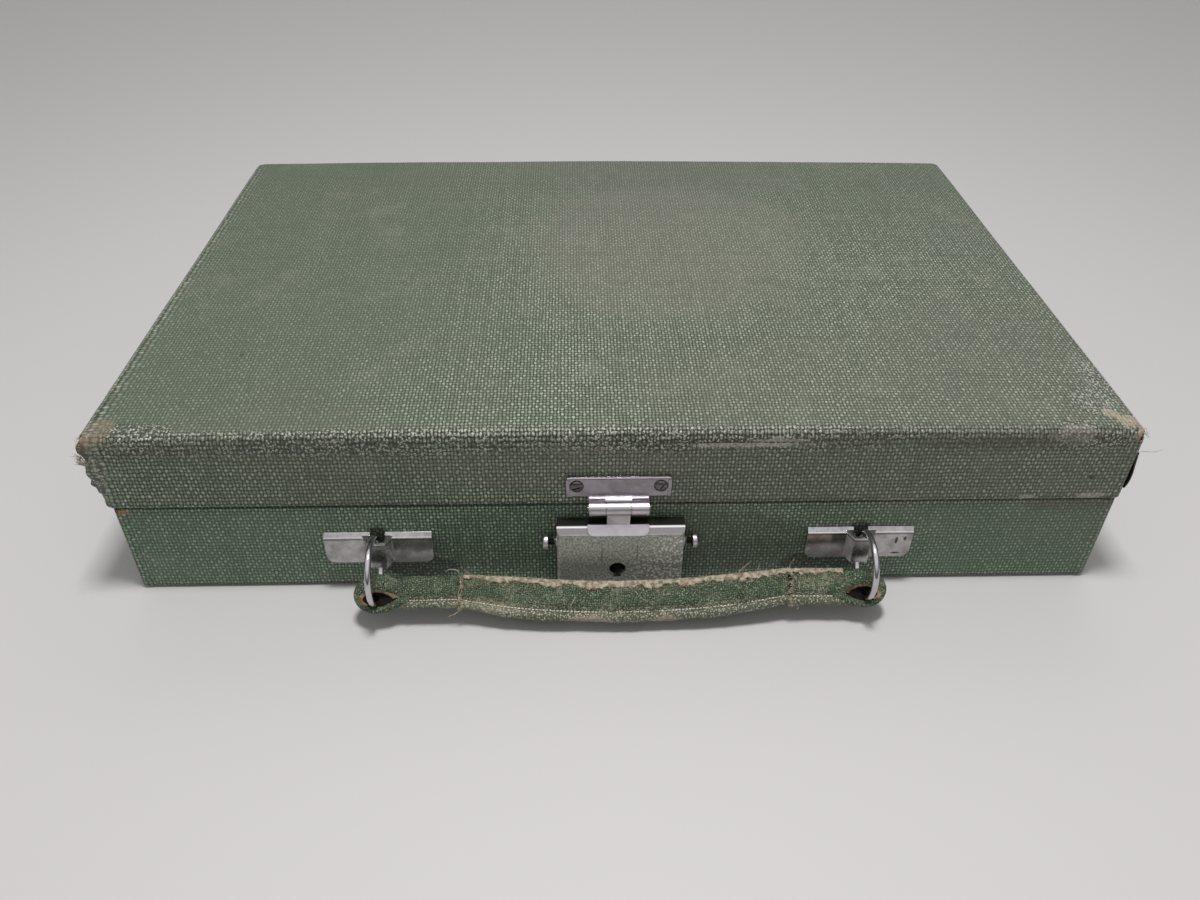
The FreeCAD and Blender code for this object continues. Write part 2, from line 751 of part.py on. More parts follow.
def make_lock_back():
    """Back plate with the two spring lugs, its rivets, and the key post."""
    margin = lock_wall + running_fit
    left = lock_x - lock_width / 2 + margin
    right = lock_x + lock_width / 2 - margin
    plate = block(left, right, on_front(lock_plate_thickness), front, lock_low + margin, lock_high - margin)
    for side in (-1, 1):
        face = lock_x + side * spring_lug_x
        face_far = face + side * spring_lug_thickness
        lug = block(min(face, face_far), max(face, face_far), on_front(spring_lug_stand), front,
                    spring_low - spring_lug_margin, spring_high + spring_lug_margin)
        plate = plate.fuse(lug)
    post_end = vec(hasp_x, on_front(key_post_length), key_z)
    post_hole = rod(key_post_radius + running_fit, post_end, vec(hasp_x, front + 1, key_z))
    plate = plate.cut(post_hole).removeSplitter()
    plate = drill(plate, lock_rivet_places(), -BACK, rivet_shank_radius, 2 * lock_plate_thickness)
    save("lock_back_plate", plate)
    length = screw_length + lock_plate_thickness
    save("lock_rivets", *[rivet(p, -BACK, length) for p in lock_rivet_places()])
    save("key_post", rod(key_post_radius, post_end, vec(hasp_x, front, key_z)))


def make_buttons_and_bolts():
    """Each button's bolt crosses behind the staple, so that pressing inward draws its nose away."""
    nose_face = staple_thickness / 2 + bolt_nose_gap
    for side, word, offset in ((-1, "left", bolt_rear_offset), (1, "right", bolt_front_offset)):
        head_out = lock_x + side * (lock_width / 2 + lock_collar_length + button_travel + button_stand
                                    + button_head_thickness)
        head_in = head_out - side * button_head_thickness
        tab_face = lock_x + side * bolt_tab_x
        y = on_front(stem_offset)
        head = rod(button_head_radius, vec(head_out, y, button_z), vec(head_in, y, button_z))
        rim = [e for e in head.Edges if e.Curve.TypeId == "Part::GeomCircle"
               and abs(e.Vertexes[0].X - head_out) < 1e-6]
        head = head.makeFillet(button_rim_radius, rim)
        stem = rod(stem_radius, vec(head_in, y, button_z), vec(tab_face, y, button_z))
        save("button_" + word, head.fuse(stem).removeSplitter())
        low = button_z - bolt_height / 2
        high = button_z + bolt_height / 2
        arm_far = hasp_x - side * bolt_reach
        arm_near = arm_far + side * bolt_arm_width
        near = on_front(offset)
        far = on_front(offset + bolt_thickness)
        bar = block(min(tab_face, arm_far), max(tab_face, arm_far), far, near, low, high)
        arm = block(min(arm_near, arm_far), max(arm_near, arm_far), far, near, low, bolt_arm_high)
        nose_end = hasp_x - side * nose_face
        nose = block(min(nose_end, arm_near), max(nose_end, arm_near), far + seat_gap, near - seat_gap,
                     bolt_arm_high - bolt_nose_height, bolt_arm_high)
        tab_in = tab_face - side * bolt_thickness
        tab = block(min(tab_face, tab_in), max(tab_face, tab_in),
                    on_front(bolt_front_offset + bolt_thickness), on_front(bolt_rear_offset), low, high)
        push = block(min(tab_face, tab_in), max(tab_face, tab_in),
                     on_front(spring_far_offset + seat_gap), on_front(spring_near_offset - seat_gap),
                     high - seat_gap, spring_high)
        dog_in = hasp_x + side * (lever_length + dog_gap)
        dog_out = dog_in + side * dog_width
        dog = block(min(dog_in, dog_out), max(dog_in, dog_out), far, near,
                    key_z - lever_arm_width / 2, low + seat_gap)
        bolt = bar.fuse(arm).fuse(nose).fuse(tab).fuse(push).fuse(dog).removeSplitter()
        save("lock_bolt_" + word, bolt)
        save("button_spring_" + word, leaf_spring(side, tab_in))


def leaf_spring(side, push_face):
    """A zigzag strip between the bolt's tab and the lug of the back plate."""
    lug_face = lock_x + side * (spring_lug_x + spring_lug_thickness)
    span = push_face - lug_face
    near = on_front(spring_near_offset)
    far = on_front(spring_far_offset)
    points = []
    for i in range(spring_folds + 1):
        x = lug_face + span * (spring_end_share + (1 - 2 * spring_end_share) * i / spring_folds)
        z = spring_low if i % 2 == 0 else spring_high
        points.append((x, z))
    strip = []
    for (x0, z0), (x1, z1) in zip(points, points[1:]):
        length = sqrt((x1 - x0) ** 2 + (z1 - z0) ** 2)
        nx = -(z1 - z0) / length * spring_strip / 2
        nz = (x1 - x0) / length * spring_strip / 2
        corners = [vec(x0 + nx, far, z0 + nz), vec(x1 + nx, far, z1 + nz),
                   vec(x1 - nx, far, z1 - nz), vec(x0 - nx, far, z0 - nz)]
        strip.append(prism(corners, BACK * (near - far)))
    whole = strip[0]
    for leg in strip[1:]:
        whole = whole.fuse(leg)
    for x, z in points[1:-1]:
        whole = whole.fuse(rod(spring_strip / 2, vec(x, far, z), vec(x, near, z)))
    return whole.removeSplitter()


def make_lever():
    """The lever that the key turns level, so that its two ends block the dogs of both bolts."""
    near = on_front(lever_near_offset)
    far = on_front(lever_far_offset)
    hub = rod(lever_hub_radius, vec(hasp_x, far, key_z), vec(hasp_x, near, key_z))
    arm = block(hasp_x - lever_length, hasp_x + lever_length, far, near,
                key_z - lever_arm_width / 2, key_z + lever_arm_width / 2)
    bore = rod(key_post_radius + running_fit, vec(hasp_x, far - 1, key_z), vec(hasp_x, near + 1, key_z))
    lever = hub.fuse(arm).cut(bore).removeSplitter()
    lever.rotate(vec(hasp_x, 0, key_z), BACK, -lever_rest_angle)
    save("lock_lever", lever)


# Handle plates and rings

def make_handle_plate(side, word):
    """A pressed plate with two raised wings and a bridge over the ring."""
    low = plate_z - plate_height / 2
    high = plate_z + plate_height / 2
    wing_half = plate_width / 2
    face = on_front(plate_rise)
    centre = side * plate_x
    body = block(centre - wing_half, centre + wing_half, face, front, low, high)
    lower = [e for e in body.Edges
             if abs(e.tangentAt(e.FirstParameter).y) > 0.99 and abs(e.Vertexes[0].Z - low) < 1e-6]
    body = body.makeFillet(plate_corner_radius, lower)
    wedge = [vec(centre - wing_half - 1, face - 1, high - plate_bevel - 1),
             vec(centre - wing_half - 1, face + plate_bevel, high),
             vec(centre - wing_half - 1, face - 1, high)]
    body = body.cut(prism(wedge, RIGHT * (plate_width + 2)))
    bridge_front = on_front(bridge_face_offset())
    bridge_low = plate_z - bridge_height / 2
    foot_y = on_front(plate_rise / 2)
    outline = [vec(centre - bridge_foot / 2, foot_y, bridge_low),
               vec(centre - bridge_width / 2, bridge_front, bridge_low),
               vec(centre + bridge_width / 2, bridge_front, bridge_low),
               vec(centre + bridge_foot / 2, foot_y, bridge_low)]
    bridge = prism(outline, UP * bridge_height)
    body = body.fuse(bridge)
    tunnel_back = on_front(bridge_face_offset() - bridge_wall)
    tunnel = block(centre - tunnel_width / 2, centre + tunnel_width / 2, tunnel_back, front + 1,
                   low - 1, high + 1)
    body = body.cut(tunnel)
    left = centre - tunnel_width / 2
    right = centre + tunnel_width / 2
    above = block(left, right, bridge_front, front + 1, plate_z + bridge_height / 2, high + 1)
    below = block(left, right, bridge_front, front + 1, low - 1, bridge_low)
    body = body.cut(above).cut(below).removeSplitter()
    places = [p for p in handle_rivet_places() if p.x * side > 0]
    body = drill(body, places, BACK, rivet_shank_radius, handle_rivet_length())
    save("handle_plate_" + word, body)


def bridge_face_offset():
    """How far the bridge's front stands off the wall: clear of the ring's wire at the bridge's ends."""
    half = bridge_height / 2
    inner = ring_radius - ring_wire_radius
    back = ring_offset - sqrt(inner ** 2 - half ** 2) + bridge_wire_gap
    return back + bridge_wall


def make_handle_plates():
    for side, word in ((-1, "left"), (1, "right")):
        make_handle_plate(side, word)
    length = handle_rivet_length()
    rivets = []
    for p in handle_rivet_places():
        seat = p - BACK * (rivet_head_height + running_fit)
        rivets.append(rivet(seat, BACK, length - rivet_head_height - running_fit))
    save("handle_plate_rivets", *rivets)


def make_rings():
    for side, word in ((-1, "left"), (1, "right")):
        centre = vec(side * plate_x, on_front(ring_offset), plate_z)
        save("ring_" + word, Part.makeTorus(ring_radius, ring_wire_radius, centre, RIGHT))


# Handle

def across():
    """Unit vector across the handle, from its rear edge down to its front edge."""
    return vec(0, -cos(radians(handle_tilt)), -sin(radians(handle_tilt)))


def face_normal():
    """Unit vector out of the handle's upper face."""
    return vec(0, -sin(radians(handle_tilt)), cos(radians(handle_tilt)))


def bow_vector():
    return vec(0, -handle_bow_out, -handle_bow_down)


def handle_middle():
    """Centre of the handle's section at the case's middle."""
    return vec(0, on_front(handle_end_offset), handle_end_z) + bow_vector()


def section(width, thickness, edge):
    """A flat bar's section with round edges, at the handle's middle."""
    wide = across()
    thick = face_normal()
    mid = handle_middle()
    a = width / 2
    b = thickness / 2
    k = min(edge, b * 0.999)
    q = k * (1 - sqrt(0.5))

    def at(s, n):
        return mid + wide * s + thick * n

    edges = [
        Part.makeLine(at(-a + k, -b), at(a - k, -b)),
        Part.Arc(at(a - k, -b), at(a - q, -b + q), at(a, -b + k)).toShape(),
        Part.makeLine(at(a, -b + k), at(a, b - k)),
        Part.Arc(at(a, b - k), at(a - q, b - q), at(a - k, b)).toShape(),
        Part.makeLine(at(a - k, b), at(-a + k, b)),
        Part.Arc(at(-a + k, b), at(-a + q, b - q), at(-a, b - k)).toShape(),
        Part.makeLine(at(-a, b - k), at(-a, -b + k)),
        Part.Arc(at(-a, -b + k), at(-a + q, -b + q), at(-a + k, -b)).toShape(),
    ]
    return Part.Face(Part.Wire(edges))


def bent_bar(face, x0, x1):
    """The section carried along the handle's bow from one X to another."""
    bow = bow_vector()
    height = bow.Length
    radius = (plate_x ** 2 + height ** 2) / (2 * height)
    unit = bow * (1 / height)
    centre = handle_middle() - unit * radius
    axis = RIGHT.cross(unit)
    start = -asin(x0 / radius)
    end = -asin(x1 / radius)
    turned = face.copy()
    turned.rotate(centre, axis, degrees(start))
    return turned.revolve(centre, axis, degrees(end - start))


def make_handle():
    core_face = section(core_width, core_thickness, core_edge_radius)
    save("handle_core", bent_bar(core_face, -core_half_length, core_half_length))
    outer = section(handle_width, handle_thickness, handle_edge_radius)
    hollow = section(core_width + 2 * seat_gap, core_thickness + 2 * seat_gap, core_edge_radius)
    left = grip_middle_x - grip_half_length
    right = grip_middle_x + grip_half_length
    grip = bent_bar(outer, left, right).cut(bent_bar(hollow, left - 1, right + 1))
    save("handle_grip_cover", grip)
    make_handle_end(-1, "left", left - grip_joint_gap, outer, hollow)
    make_handle_end(1, "right", right + grip_joint_gap, outer, hollow)


def make_handle_end(side, word, start, outer, hollow):
    """The end sleeve over the core, and the flat eye that the ring passes through."""
    end = side * end_sleeve_outer_x
    sleeve = bent_bar(outer, min(start, end), max(start, end))
    mid = vec(0, on_front(handle_end_offset), handle_end_z)

    def at(x, s, n):
        return mid + RIGHT * (side * x) + across() * s + face_normal() * n

    low = -eye_thickness / 2
    half = handle_width / 2
    edge_in = -half
    edge_out = half + 2 * eye_lip_shift
    tip = eye_middle_x + eye_end_radius
    outline = [
        Part.makeLine(at(eye_inner_x, edge_in, low), at(eye_middle_x, edge_in, low)),
        Part.Arc(at(eye_middle_x, edge_in, low), at(tip, eye_lip_shift, low),
                 at(eye_middle_x, edge_out, low)).toShape(),
        Part.makeLine(at(eye_middle_x, edge_out, low), at(eye_inner_x, half, low)),
        Part.makeLine(at(eye_inner_x, half, low), at(eye_inner_x, edge_in, low)),
    ]
    eye = Part.Face(Part.Wire(outline)).extrude(face_normal() * eye_thickness)
    r = eye_hole_radius
    c = eye_hole_across
    point = c + eye_point_shift
    hole_low = low - 1
    hole_outline = [
        Part.Arc(at(eye_middle_x, c - r, hole_low), at(eye_middle_x + r, c, hole_low),
                 at(eye_middle_x, c + r, hole_low)).toShape(),
        Part.makeLine(at(eye_middle_x, c + r, hole_low), at(eye_hole_point_x, point, hole_low)),
        Part.makeLine(at(eye_hole_point_x, point, hole_low), at(eye_middle_x, c - r, hole_low)),
    ]
    opening = Part.Face(Part.Wire(hole_outline)).extrude(face_normal() * (eye_thickness + 2))
    inner_end = side * (core_half_length + seat_gap)
    room = bent_bar(hollow, min(start - side, inner_end), max(start - side, inner_end))
    made = sleeve.fuse(eye).cut(opening).cut(room).removeSplitter()
    save("handle_end_" + word, made)


# Stay ribbons

def ribbon_place(direction):
    """Middle of a ribbon's fixed end on the left, on the base (-1) or on the lid (1)."""
    inner_face = -collar_x + collar_thickness if direction < 0 else -inner_x - lid_overhang + wall_lining
    return vec(inner_face, hinge_y - ribbon_reach, seam_height + direction * ribbon_spread)


def ear_length(direction):
    """Height of a ribbon's fixed end; in the lid it stops short of the lining board."""
    if direction < 0:
        return ribbon_ear
    return lid_ceiling - lid_lining - ribbon_ear_gap - ribbon_place(1).z


def ribbon_tack_places(direction):
    """Where a tack goes through a ribbon's ear, on its inner face: left, then right."""
    p = ribbon_place(direction)
    x = p.x + ribbon_thickness
    z = p.z + direction * ear_length(direction) * ribbon_tack_share
    return [vec(x, p.y, z), vec(-x, p.y, z)]


def tack_length(direction):
    """Length of a ribbon tack's shank, through the ribbon and into the board behind it."""
    if direction < 0:
        return ribbon_thickness + collar_thickness * tack_share_collar
    return ribbon_thickness + wall_lining + board * tack_share_board


def make_ribbons():
    base_end = ribbon_place(-1)
    lid_end = ribbon_place(1)
    fold_y = hinge_y - ribbon_fold_reach
    inner_x0 = base_end.x
    half = ribbon_thickness / 2
    low = base_end.z
    high = lid_end.z
    outline = [vec(inner_x0, base_end.y, low - half), vec(inner_x0, fold_y, seam_height - half),
               vec(inner_x0, fold_y + 2 * half, seam_height), vec(inner_x0, fold_y, seam_height + half),
               vec(inner_x0, lid_end.y, high + half), vec(inner_x0, lid_end.y, high - half),
               vec(inner_x0, fold_y - 5 * half, seam_height), vec(inner_x0, base_end.y, low + half)]
    tape = prism(outline, RIGHT * ribbon_width)
    ears = []
    for end, direction in ((base_end, -1), (lid_end, 1)):
        z0 = end.z - direction * half
        z1 = end.z + direction * ear_length(direction)
        ears.append(block(end.x, end.x + ribbon_thickness, end.y - ribbon_width / 2, end.y + ribbon_width / 2,
                          min(z0, z1), max(z0, z1)))
    step = lid_end.x - inner_x0
    bridge = block(min(lid_end.x, inner_x0), inner_x0 + ribbon_thickness,
                   lid_end.y, lid_end.y + ribbon_width / 2, high - half, high + half)
    tape = tape.fuse(ears[0]).fuse(ears[1])
    if step < 0:
        tape = tape.fuse(bridge)
    for direction in (-1, 1):
        tack = ribbon_tack_places(direction)[0]
        tape = tape.cut(hole(tack, RIGHT, rivet_shank_radius, ribbon_thickness + 1))
    tape = tape.removeSplitter()
    save("stay_ribbon_left", tape)
    save("stay_ribbon_right", mirror_x(tape))
    for direction, word in ((-1, "base"), (1, "lid")):
        places = ribbon_tack_places(direction)
        length = tack_length(direction)
        save("ribbon_" + word + "_tacks", rivet(places[0], RIGHT, length), rivet(places[1], -RIGHT, length))


os.makedirs("parts", exist_ok=True)
make_base_shell()
make_collar()
make_lid_shell()
make_lid_inside()
make_hinges()
make_hasp_plate()
make_flap()
make_staple()
make_lock_case()
make_lock_back()
make_buttons_and_bolts()
make_lever()
make_handle_plates()
make_rings()
make_handle()
make_ribbons()
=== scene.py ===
import math
import random

import bmesh
import bpy
from mathutils import Matrix, Vector, noise


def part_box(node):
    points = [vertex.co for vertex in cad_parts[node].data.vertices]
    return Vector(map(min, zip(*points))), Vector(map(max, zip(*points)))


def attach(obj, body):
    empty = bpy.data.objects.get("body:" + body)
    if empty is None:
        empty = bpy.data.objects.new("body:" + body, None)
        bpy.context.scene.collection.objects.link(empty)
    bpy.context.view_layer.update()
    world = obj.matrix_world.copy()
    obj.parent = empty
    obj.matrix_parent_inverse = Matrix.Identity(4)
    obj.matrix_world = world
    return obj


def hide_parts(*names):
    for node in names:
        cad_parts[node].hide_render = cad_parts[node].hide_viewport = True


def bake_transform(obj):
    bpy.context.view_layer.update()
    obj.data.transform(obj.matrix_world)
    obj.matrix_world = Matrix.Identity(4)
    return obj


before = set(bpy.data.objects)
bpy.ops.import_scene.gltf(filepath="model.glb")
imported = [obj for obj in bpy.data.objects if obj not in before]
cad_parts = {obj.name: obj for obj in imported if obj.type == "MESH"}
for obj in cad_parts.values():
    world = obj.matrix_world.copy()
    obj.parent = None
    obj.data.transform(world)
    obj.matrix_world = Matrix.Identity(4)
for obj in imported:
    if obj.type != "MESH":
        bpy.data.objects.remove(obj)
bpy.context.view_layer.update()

MM = 0.001
X_AXIS = Vector((1, 0, 0))
Y_AXIS = Vector((0, 1, 0))
Z_AXIS = Vector((0, 0, 1))

# Cloth cover, in metres
cloth = 0.6 * MM
wall = 4.6 * MM
upright_radius = 4.0 * MM
top_edge_radius = 3.0 * MM
bottom_edge_radius = 1.8 * MM
turn_in = 6.0 * MM
turn_thickness = 0.05 * MM
lid_threads = (1.15 * MM, 1.48 * MM, 1.0)
base_threads = (1.15 * MM, 1.37 * MM, 1.0)
crown = 1.3 * MM
side_swell = 2.8 * MM
corner_push = 1.1 * MM

# Handle at rest
handle_tilt = math.radians(35)
handle_middle = Vector((0, -127.7 * MM, 8.3 * MM))
handle_bow_out = 2.9 * MM
handle_bow_down = 2.5 * MM
handle_half_span = 81 * MM
crease = 54 * MM
grip_left = -52.5 * MM
grip_right = 55.5 * MM
left_gap = 1.2 * MM
right_gap = 0.9 * MM
sleeve_left = -72.4 * MM
sleeve_right = 74.5 * MM
eye_middle = 81.0 * MM

# Stay ribbons
hinge_y = 113.1 * MM
hinge_z = 36.5 * MM
lid_opening = math.radians(100)
ribbon_reach = 90 * MM
ribbon_spread = 8 * MM
ribbon_edge = 158.8 * MM
ribbon_width = 12 * MM

# Camera of the photograph
camera_place = Vector((-0.0156, -0.3494, 0.2458))
camera_pitch = math.radians(38.0)
camera_yaw = math.radians(-1.99)
camera_roll = math.radians(0.71)
camera_lens = 29.08
sensor_width = 36.0


# Wiring of shader nodes

class Wires:
    """Adds nodes to a tree and wires them. An input may be given as a number, a tuple or a socket."""

    def __init__(self, tree):
        self.tree = tree

    def add(self, kind, inputs=None, **settings):
        node = self.tree.nodes.new(kind)
        for key, value in settings.items():
            setattr(node, key, value)
        for key, value in (inputs or {}).items():
            self.feed(node.inputs[key], value)
        return node

    def feed(self, socket, value):
        if isinstance(value, bpy.types.NodeSocket):
            self.tree.links.new(value, socket)
        else:
            socket.default_value = value

    def math(self, operation, a, b=0.0, c=0.0, clamp=False):
        return self.add("ShaderNodeMath", {0: a, 1: b, 2: c}, operation=operation, use_clamp=clamp).outputs[0]

    def vector(self, operation, a, b=(0, 0, 0), scale=1.0):
        node = self.add("ShaderNodeVectorMath", {0: a, 1: b, 3: scale}, operation=operation)
        return node.outputs["Value" if operation == "LENGTH" else "Vector"]

    def split(self, vector):
        return self.add("ShaderNodeSeparateXYZ", {0: vector}).outputs

    def join(self, x, y, z=0.0):
        return self.add("ShaderNodeCombineXYZ", {0: x, 1: y, 2: z}).outputs[0]

    def ramp(self, value, low, high, to_low=0.0, to_high=1.0):
        """A smooth step of the value between low and high."""
        keys = {0: value, 1: low, 2: high, 3: to_low, 4: to_high}
        return self.add("ShaderNodeMapRange", keys, interpolation_type="SMOOTHSTEP").outputs[0]

    def band(self, value, low, high, soft):
        """1 between low and high, falling to 0 over the soft distance outside."""
        return self.math("MULTIPLY", self.ramp(value, low - soft, low), self.ramp(value, high + soft, high))

    def mix(self, factor, a, b, blend="MIX"):
        """Two colours mixed by the factor."""
        return self.add("ShaderNodeMix", {0: factor, 6: a, 7: b}, data_type="RGBA", blend_type=blend).outputs[2]

    def noise(self, place, scale, detail=2.0, roughness=0.5):
        keys = {"Vector": place, "Scale": scale, "Detail": detail, "Roughness": roughness}
        return self.add("ShaderNodeTexNoise", keys).outputs[0]

    def speck(self, place):
        """A random number for each whole value of the place."""
        return self.add("ShaderNodeTexWhiteNoise", {"Vector": place}, noise_dimensions="3D").outputs["Value"]

    def cells(self, place, scale):
        """Distance to the nearest of scattered points."""
        return self.add("ShaderNodeTexVoronoi", {"Vector": place, "Scale": scale}).outputs["Distance"]

    def place(self):
        return self.add("ShaderNodeTexCoord").outputs["Object"]

    def chart(self):
        """The piece's own UV map, which holds metres along the cloth."""
        return self.add("ShaderNodeUVMap", uv_map="chart").outputs[0]

    def bump(self, height, distance, strength=1.0, under=None):
        keys = {"Height": height, "Distance": distance, "Strength": strength}
        node = self.add("ShaderNodeBump", keys)
        if under is not None:
            self.feed(node.inputs["Normal"], under)
        return node.outputs[0]

    def use(self, group, **inputs):
        """Places a shared effect; its inputs are given by name."""
        node = self.add("ShaderNodeGroup", node_tree=group)
        for key, value in inputs.items():
            self.feed(node.inputs[key.replace("_", " ")], value)
        return node.outputs


def effect(name, inputs, outputs):
    """An empty node group with named inputs and outputs; gives the tree, its wires and both ends."""
    tree = bpy.data.node_groups.new(name, "ShaderNodeTree")
    kinds = {"number": "NodeSocketFloat", "vector": "NodeSocketVector", "colour": "NodeSocketColor"}
    for key, kind in inputs.items():
        tree.interface.new_socket(name=key, in_out="INPUT", socket_type=kinds[kind])
    for key, kind in outputs.items():
        tree.interface.new_socket(name=key, in_out="OUTPUT", socket_type=kinds[kind])
    wires = Wires(tree)
    start = tree.nodes.new("NodeGroupInput").outputs
    end = tree.nodes.new("NodeGroupOutput").inputs
    return tree, wires, start, end


def weave_effect():
    """Plain weave: threads one way pass over and under threads the other way."""
    tree, w, start, end = effect("plain weave", {"Chart": "vector", "Pitch": "vector", "Wander": "number"},
                                 {"Height": "number", "Crest": "number", "Gap": "number", "Thread": "number"})
    place = w.vector("DIVIDE", start["Chart"], start["Pitch"])
    drift = w.add("ShaderNodeTexNoise", {"Vector": place, "Scale": 0.45, "Detail": 3.0})
    drift = w.vector("SUBTRACT", drift.outputs["Color"], (0.5, 0.5, 0.5))
    place = w.vector("ADD", place, w.vector("SCALE", drift, scale=start["Wander"]))
    u, v, _ = w.split(place)
    column = w.math("FLOOR", u)
    row = w.math("FLOOR", v)
    across_u = w.math("SUBTRACT", w.math("SUBTRACT", u, column), 0.5)
    across_v = w.math("SUBTRACT", w.math("SUBTRACT", v, row), 0.5)
    column_sign = w.math("SUBTRACT", 1.0, w.math("MULTIPLY", w.math("FLOORED_MODULO", column, 2.0), 2.0))
    row_sign = w.math("SUBTRACT", 1.0, w.math("MULTIPLY", w.math("FLOORED_MODULO", row, 2.0), 2.0))
    wave_v = w.math("MULTIPLY", w.math("SINE", w.math("MULTIPLY", v, math.pi)), column_sign)
    wave_u = w.math("MULTIPLY", w.math("SINE", w.math("MULTIPLY", u, -math.pi)), row_sign)
    round_u = w.math("SUBTRACT", 1.0, w.math("MULTIPLY", w.math("MULTIPLY", across_u, across_u), 4.0))
    round_v = w.math("SUBTRACT", 1.0, w.math("MULTIPLY", w.math("MULTIPLY", across_v, across_v), 4.0))
    upright = w.math("ADD", w.math("MULTIPLY", round_u, 0.55), w.math("MULTIPLY", wave_v, 0.45))
    level = w.math("ADD", w.math("MULTIPLY", round_v, 0.55), w.math("MULTIPLY", wave_u, 0.45))
    upright_thread = w.speck(w.join(column, 3.0))
    level_thread = w.speck(w.join(7.0, row))
    upright = w.math("ADD", upright, w.math("MULTIPLY", w.math("SUBTRACT", upright_thread, 0.5), 0.06))
    level = w.math("ADD", level, w.math("MULTIPLY", w.math("SUBTRACT", level_thread, 0.5), 0.06))
    level = w.math("SUBTRACT", level, 0.2)
    height = w.math("MAXIMUM", upright, level)
    knot = w.speck(w.join(column, row, 5.0))
    grain = w.noise(place, 2.3, 2.0)
    w.feed(end["Height"], w.math("ADD", height, w.math("MULTIPLY", grain, 0.25)))
    w.feed(end["Crest"], w.ramp(height, 0.5, 0.95))
    w.feed(end["Gap"], w.ramp(height, 0.6, 0.25))
    w.feed(end["Thread"], w.math("ADD", w.math("MULTIPLY", w.math("ADD", upright_thread, level_thread), 0.06),
                                 w.math("MULTIPLY", w.math("ADD", knot, grain), 0.44)))
    return tree


def edge_effect():
    """How near a point of a box is to its edges, and to its corners: 1 on the edge, 0 beyond the reach."""
    tree, w, start, end = effect("box edges", {"Place": "vector", "Centre": "vector", "Half": "vector",
                                               "Reach": "number"},
                                 {"Edge": "number", "Corner": "number"})
    offset = w.vector("ABSOLUTE", w.vector("SUBTRACT", start["Place"], start["Centre"]))
    x, y, z = w.split(w.vector("SUBTRACT", start["Half"], offset))
    middle = w.math("MINIMUM", w.math("MINIMUM", w.math("MAXIMUM", x, y), w.math("MAXIMUM", y, z)),
                    w.math("MAXIMUM", x, z))
    farthest = w.math("MAXIMUM", w.math("MAXIMUM", x, y), z)
    w.feed(end["Edge"], w.ramp(middle, start["Reach"], 0.0))
    w.feed(end["Corner"], w.ramp(farthest, w.math("MULTIPLY", start["Reach"], 3.0), 0.0))
    return tree


def spot_effect():
    """A ragged patch round a point."""
    tree, w, start, end = effect("ragged patch", {"Place": "vector", "Centre": "vector", "Size": "vector",
                                                  "Ragged": "number", "Grain": "number"}, {"Patch": "number"})
    reach = w.vector("LENGTH", w.vector("DIVIDE", w.vector("SUBTRACT", start["Place"], start["Centre"]),
                                        start["Size"]))
    grain = w.noise(start["Place"], start["Grain"], 6.0, 0.78)
    reach = w.math("ADD", reach, w.math("MULTIPLY", w.math("SUBTRACT", grain, 0.5), start["Ragged"]))
    w.feed(end["Patch"], w.ramp(reach, 1.1, 0.85))
    return tree


def plate_effect():
    """Old plating: fine pits, thin scratches and cloudy patches."""
    tree, w, start, end = effect("old plating", {"Place": "vector", "Pits": "number", "Cloud": "number"},
                                 {"Height": "number", "Roughness": "number", "Stain": "number"})
    fine = w.noise(start["Place"], 900.0, 3.0, 0.6)
    cloud = w.noise(start["Place"], 140.0, 4.0, 0.6)
    pits = w.ramp(w.cells(start["Place"], 520.0), 0.16, 0.02)
    chosen = w.ramp(w.noise(start["Place"], 90.0, 2.0), 0.5, 0.68)
    pits = w.math("MULTIPLY", w.math("MULTIPLY", pits, chosen), start["Pits"])
    scratch_place = w.vector("MULTIPLY", start["Place"], (2600.0, 300.0, 260.0))
    scratch = w.ramp(w.noise(scratch_place, 1.0, 2.0), 0.66, 0.8)
    clouding = w.math("MULTIPLY", w.ramp(cloud, 0.42, 0.72), start["Cloud"])
    height = w.math("SUBTRACT", w.math("MULTIPLY", fine, 0.25), pits)
    w.feed(end["Height"], w.math("SUBTRACT", height, w.math("MULTIPLY", scratch, 0.15)))
    w.feed(end["Roughness"], w.math("ADD", w.math("MULTIPLY", clouding, 0.22),
                                    w.math("MULTIPLY", scratch, 0.08)))
    w.feed(end["Stain"], w.math("MAXIMUM", pits, w.math("MULTIPLY", clouding, 0.35)))
    return tree


weave = weave_effect()
box_edges = edge_effect()
patch = spot_effect()
plating = plate_effect()


# Materials

def rgb(red, green, blue):
    """A colour written as a picture shows it, 0 to 255, as the shader's linear colour."""
    parts = []
    for level in (red, green, blue):
        share = level / 255
        parts.append(share / 12.92 if share <= 0.04045 else ((share + 0.055) / 1.055) ** 2.4)
    return (*parts, 1.0)


def new_material(name, roughness=0.6, metallic=0.0, specular=0.5):
    """A material with its shader; gives the material, its wires and the shader."""
    material = bpy.data.materials.new(name)
    material.use_nodes = True
    tree = material.node_tree
    shader = tree.nodes["Principled BSDF"]
    shader.inputs["Roughness"].default_value = roughness
    shader.inputs["Metallic"].default_value = metallic
    shader.inputs["Specular IOR Level"].default_value = specular
    return material, Wires(tree), shader


def woven_colour(w, chart, pitch, wander, deep, thread, crest):
    """Colour and height of a plain weave from three tones."""
    cloth_weave = w.use(weave, Chart=chart, Pitch=pitch, Wander=wander)
    shade = w.mix(w.math("MULTIPLY", cloth_weave["Gap"], 0.9), thread, deep)
    lit = w.math("MULTIPLY", cloth_weave["Crest"], w.ramp(cloth_weave["Thread"], 0.2, 0.75, 0.2, 1.0))
    return w.mix(lit, shade, crest), cloth_weave


